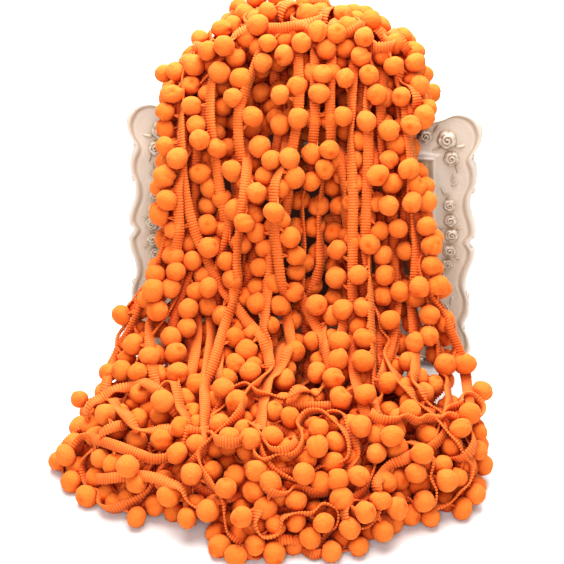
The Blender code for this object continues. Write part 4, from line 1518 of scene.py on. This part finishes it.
def detail_levels(points, centres, own):
    """3 where a point shows to the camera, 2 where it shows from some other side, 1 elsewhere."""
    level = np.ones(len(points), int)
    for azimuth in range(0, 360, 45):
        for elevation in (5, 40, 75):
            way = seen_from(math.radians(azimuth), math.radians(elevation))
            level[shows(points, centres, way, own)] = 2
    level[shows(points, centres, BACK, own)] = 3
    return level


def make_braid(bare, edge, levels, material):
    """The braid in pieces with their lengths (m), each stretch at its own level of detail."""
    last = len(bare) - 1
    cuts = [0, *[i for i in range(1, last) if levels[i] != levels[i - 1]], last]
    pieces, held, first = [], [], 0
    for a, b in zip(cuts, cuts[1:]):
        held.append(braid_piece(bare, edge, a, b, int(levels[a])))
        if sum(len(part[1]) for part in held) * 2 > BRAID_TRIANGLES or b == last:
            points, faces, uv, rise = merged(held)
            name = f"braid_run_{len(pieces) + 1}"
            obj = add_mesh(name, points, faces, material, uv, {"rise": rise})
            pieces.append((obj, (b - first) * STATION * MM))
            held, first = [], b
    return pieces


def make_pompoms(centres, tops, levels, material):
    """The pompoms by level of detail."""
    made = []
    for level, cuts in POMPOM_CUTS:
        chosen = np.flatnonzero(levels == level)
        count = max(1, math.ceil(len(chosen) * cuts * cuts * 12 / POMPOM_TRIANGLES))
        for part, some in enumerate(np.array_split(chosen, count)):
            seed = 100 * level + part
            points, faces, values = pompom_mesh(centres[some], tops[some], cuts, seed)
            name = f"pompoms_{level}_{part + 1}"
            made.append(add_mesh(name, points, faces, material, values=values))
    return made


def make_hangers(bare, edge, centres, hooks, show, material):
    """Two short yarns from the braid's edge into each pompom, rounder where it shows."""
    ahead = unit(np.gradient(edge, axis=0))[hooks]
    across = unit(edge - bare)[hooks]
    root = edge[hooks] - across * 0.4
    way = unit(centres - edge[hooks])
    made = []
    for sign in (-1, 1):
        start = root + ahead * sign * 0.9
        end = centres - way * (POMPOM_R - 1.8) + ahead * sign * 0.25
        bend = (start + end) / 2 + across * 1.2 - ahead * sign * 0.7
        for some, corners in ((show, 4), (~show, 3)):
            made.append(tubes(start[some], bend[some], end[some], YARN_R, corners, 3))
    points, faces = merged(made)
    rise = np.full(len(points), YARN_RISE)
    return add_mesh("hanger_yarns", points, faces, material, values={"rise": rise})


def on_frame(points):
    """World places (mm) of points given across, up from the frame's centre and over its back."""
    across = points[..., :1] * np.array([1.0, 0, 0])
    up = (points[..., 1:2] + FRAME_HIGH / 2 - FOOT_CUT) * FRAME_UP
    placed = across + up + (points[..., 2:] - PLATE_MIDDLE) * FRAME_OUT
    placed[..., 2] = np.maximum(placed[..., 2], 0.0)
    return placed


def moulding_plate():
    """The moulding's plate with its rim, field and cove, as points, faces and glaze stain with
    painted shade.
    """
    quarter = np.array(OUTLINE_QUARTER)
    upper = np.vstack([quarter, quarter[-2::-1] * [-1, 1]])
    outline = closed_curve(np.vstack([upper, upper[-2:0:-1] * [1, -1]]), 2.0)
    window = outline / (np.abs(outline) / np.array(WINDOW_HALF)).max(axis=1, keepdims=True)
    inward = window - outline
    length = np.linalg.norm(inward, axis=1, keepdims=True)
    inward /= length
    middle = unit(window) * 30.0
    first, last = RIM_PROFILE[-1][0], COVE_PROFILE[0][0]
    rows = [(middle, 0.0, 0.6), (window, 0.0, 0.6)]
    rows += [(outline + inward * d, h, glaze_and_shade) for d, h, glaze_and_shade in RIM_PROFILE]
    for share in np.linspace(0, 1, 7)[1:-1]:
        height = FIELD_HIGH + FIELD_RISE * share - FIELD_HOLLOW * math.sin(math.pi * share)
        in_by = first + (length - last - first) * share
        rows.append((outline + inward * in_by, height, FIELD_GLAZE_AND_SHADE))
    rows += [(window - inward * d, h, glaze_and_shade) for d, h, glaze_and_shade in COVE_PROFILE]
    rows.append((middle, 6.0, 0.8))
    points = np.stack([np.hstack([at, np.full((len(at), 1), h)]) for at, h, _ in rows])
    count = len(outline)
    glaze_and_shade = np.repeat([s for _, _, s in rows], count)
    index, faces = ring_faces(len(rows), count)
    caps = []
    for k in range(count // 2 - 1):
        four = [k, k + 1, count - 2 - k, count - 1 - k]
        caps += [index[-1][four], index[0][four[::-1]]]
    return points.reshape(-1, 3), np.vstack([faces, caps]), glaze_and_shade


def relief(place, turn, half_long, half_wide, height, shape, rings=11, sectors=30):
    """A small relief on the moulding's field: a disc that a shape of (share out, angle) raises."""
    share = np.linspace(0, 1, rings)[:, None]
    angle = np.linspace(0, 2 * math.pi, sectors, endpoint=False)[None]
    bulge, glaze_and_shade, reach = shape(share, angle)
    ahead = share * reach * half_long * np.cos(angle)
    aside = share * reach * half_wide * np.sin(angle)
    cos, sin = math.cos(turn), math.sin(turn)
    x, y = place[0] + ahead * cos - aside * sin, place[1] + ahead * sin + aside * cos
    points = np.stack([x, y, RELIEF_FOOT + height * bulge], -1).reshape(-1, 3)
    _, faces = ring_faces(rings, sectors, turned=True)
    return points, faces, np.broadcast_to(glaze_and_shade, (rings, sectors)).ravel()


def rose_shape(share, angle):
    """A rose's petals: a spiral of ridges inside a ring of five petals."""
    spiral = np.abs(np.sin(math.pi * (share * 2.6 + angle / (2 * math.pi)))) ** 0.6
    petals = 0.5 + 0.5 * np.abs(np.cos(angle * 2.5 + 1.0)) ** 0.5
    ridge = np.where(share < 0.66, spiral, petals)
    bulge = (1 - share**4) * (0.45 + 0.55 * ridge)
    reach = 1 + 0.10 * np.abs(np.cos(angle * 2.5 + 1.0)) ** 0.5
    # The second value is tan: glaze stain, and painted shade between the ridges and at the rim.
    return bulge, np.clip(1.1 * (1 - ridge), 0, 1) + 0.25 * (share > 0.9), reach


def leaf_shape(share, angle):
    """A pointed leaf with a raised middle vein."""
    narrow = np.abs(np.sin(angle))
    vein = 1 - 0.45 * narrow * (share > 0.1)
    # The second value is tan along its edge: glaze stain and painted shade.
    return (1 - share**2) * vein, 0.35 * (share > 0.8), 1 - 0.35 * narrow**2


def make_moulding(material):
    """The cast moulding: plate, roses, leaves, scrolls and the bead line round its window."""
    parts = [moulding_plate()]
    ball, ball_faces = ball_template(2)
    for mirror in (-1, 1):
        for k, (u, v, radius) in enumerate(ROSES):
            at, high = (u * mirror, v), 2.0 + 0.48 * radius
            parts.append(relief(at, k * 1.3 * mirror, radius, radius, high, rose_shape))
        for u, v, angle, long in LEAVES:
            at, turn = (u * mirror, v), math.radians(angle if mirror > 0 else 180 - angle)
            parts.append(relief(at, turn, long / 2, long / 4, 2.4, leaf_shape, 6, 18))
        for u, v, radius in SCROLLS:
            for flip in (-1, 1):
                at = np.array([u * mirror, v * flip, SCROLL_HIGH])
                parts.append((at + ball * radius, ball_faces, np.zeros(len(ball))))
    half = np.array(WINDOW_HALF) + 1.6
    corners = np.array([(-1, -1), (1, -1), (1, 1), (-1, 1), (-1, -1)]) * half
    for at in resample(corners, 1.9)[:-1]:
        bead = np.array([*at, BEAD_HIGH]) + ball * BEAD_R
        parts.append((bead, ball_faces, np.full(len(ball), 0.1)))
    points, faces, glaze_and_shade = merged(parts)
    return add_mesh("cast_moulding", on_frame(points), faces, material, values={"glaze_and_shade": glaze_and_shade})


def make_stage():
    """A plain pale floor that runs up behind, and soft light from above."""
    bm = bmesh.new()
    bend = [(1.0 + 0.8 * math.sin(a), 0.8 - 0.8 * math.cos(a)) for a in np.linspace(0.1, 1.4, 12)]
    outline = [(-2.5, 0.0), (1.0, 0.0), *bend, (1.9, 3.5)]
    rows = [[bm.verts.new((x, y, z - 0.0002)) for x in (-3, 3)] for y, z in outline]
    for a, b in zip(rows, rows[1:]):
        bm.faces.new((a[0], a[1], b[1], b[0]))
    mesh = bpy.data.meshes.new("floor")
    bm.to_mesh(mesh)
    bm.free()
    mesh.shade_smooth()
    floor = bpy.data.objects.new("floor", mesh)
    bpy.context.scene.collection.objects.link(floor)
    look = Look("pale_floor")
    pale = (0.80, 0.80, 0.79, 1)
    set_inputs(look.shader, Base_Color=pale, Roughness=0.9, Specular_IOR_Level=0.2)
    mesh.materials.append(look.material)

    world = bpy.data.worlds.new("studio")
    bpy.context.scene.world = world
    world.use_nodes = True
    background = world.node_tree.nodes["Background"]
    set_inputs(background, Color=(1.0, 0.99, 0.98, 1), Strength=WORLD_STRENGTH)
    for name, size, energy, place, aim in LIGHTS:
        light = bpy.data.lights.new(name, "AREA")
        light.shape, light.size, light.energy = "DISK", size, energy
        obj = bpy.data.objects.new(name, light)
        obj.location = place
        obj.rotation_euler = (Vector(aim) - Vector(place)).to_track_quat("-Z", "Y").to_euler()
        bpy.context.scene.collection.objects.link(obj)
    bpy.context.scene.view_settings.view_transform = "Standard"
    bpy.context.scene.view_settings.look = "Medium High Contrast"


add_camera()
make_stage()
pile, ribbed, resin = pompom_material(), braid_material(), resin_material()
hank = surface_tree("trim_hank")
stations = trim_route(hank)
bare, edge, centres, hooks = settle(hank, stations, ROUNDS)
tops = unit(edge[hooks] - centres)
middle = (bare + edge) / 2
ball_levels = detail_levels(centres, centres, np.arange(len(centres)))
levels = detail_levels(middle, centres, np.full(len(middle), -1))
levels = np.maximum.reduce([levels, np.roll(levels, 1), np.roll(levels, -1)])
runs = make_braid(bare, edge, levels, ribbed)
balls = make_pompoms(centres, tops, ball_levels, pile)
yarns = make_hangers(bare, edge, centres, hooks, ball_levels == 3, ribbed)
cast = make_moulding(resin)

nodes = [part["node"] for part in frame["record"]["subparts"]]
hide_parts("trim_hank", *[n for n in nodes if n.startswith("braid_")])
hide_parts(*[n for n in nodes if n.startswith("pompom_")])
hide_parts("frame_moulding")
for node, material in (
    # Painted shade: the pane is dark brown so that gaps into the hank look deep in shade.
    ("frame_pane", plain_material("pane_dark_as_shade", (0.13, 0.05, 0.03), 0.5, 30, 0.02)),
    ("frame_backing", plain_material("backing_board", (0.10, 0.06, 0.035), 0.8, 180, 0.3)),
    ("frame_strut", plain_material("strut_board", (0.10, 0.06, 0.035), 0.8, 180, 0.3)),
):
    for place in bpy.data.objects[node].material_slots:
        place.material = material
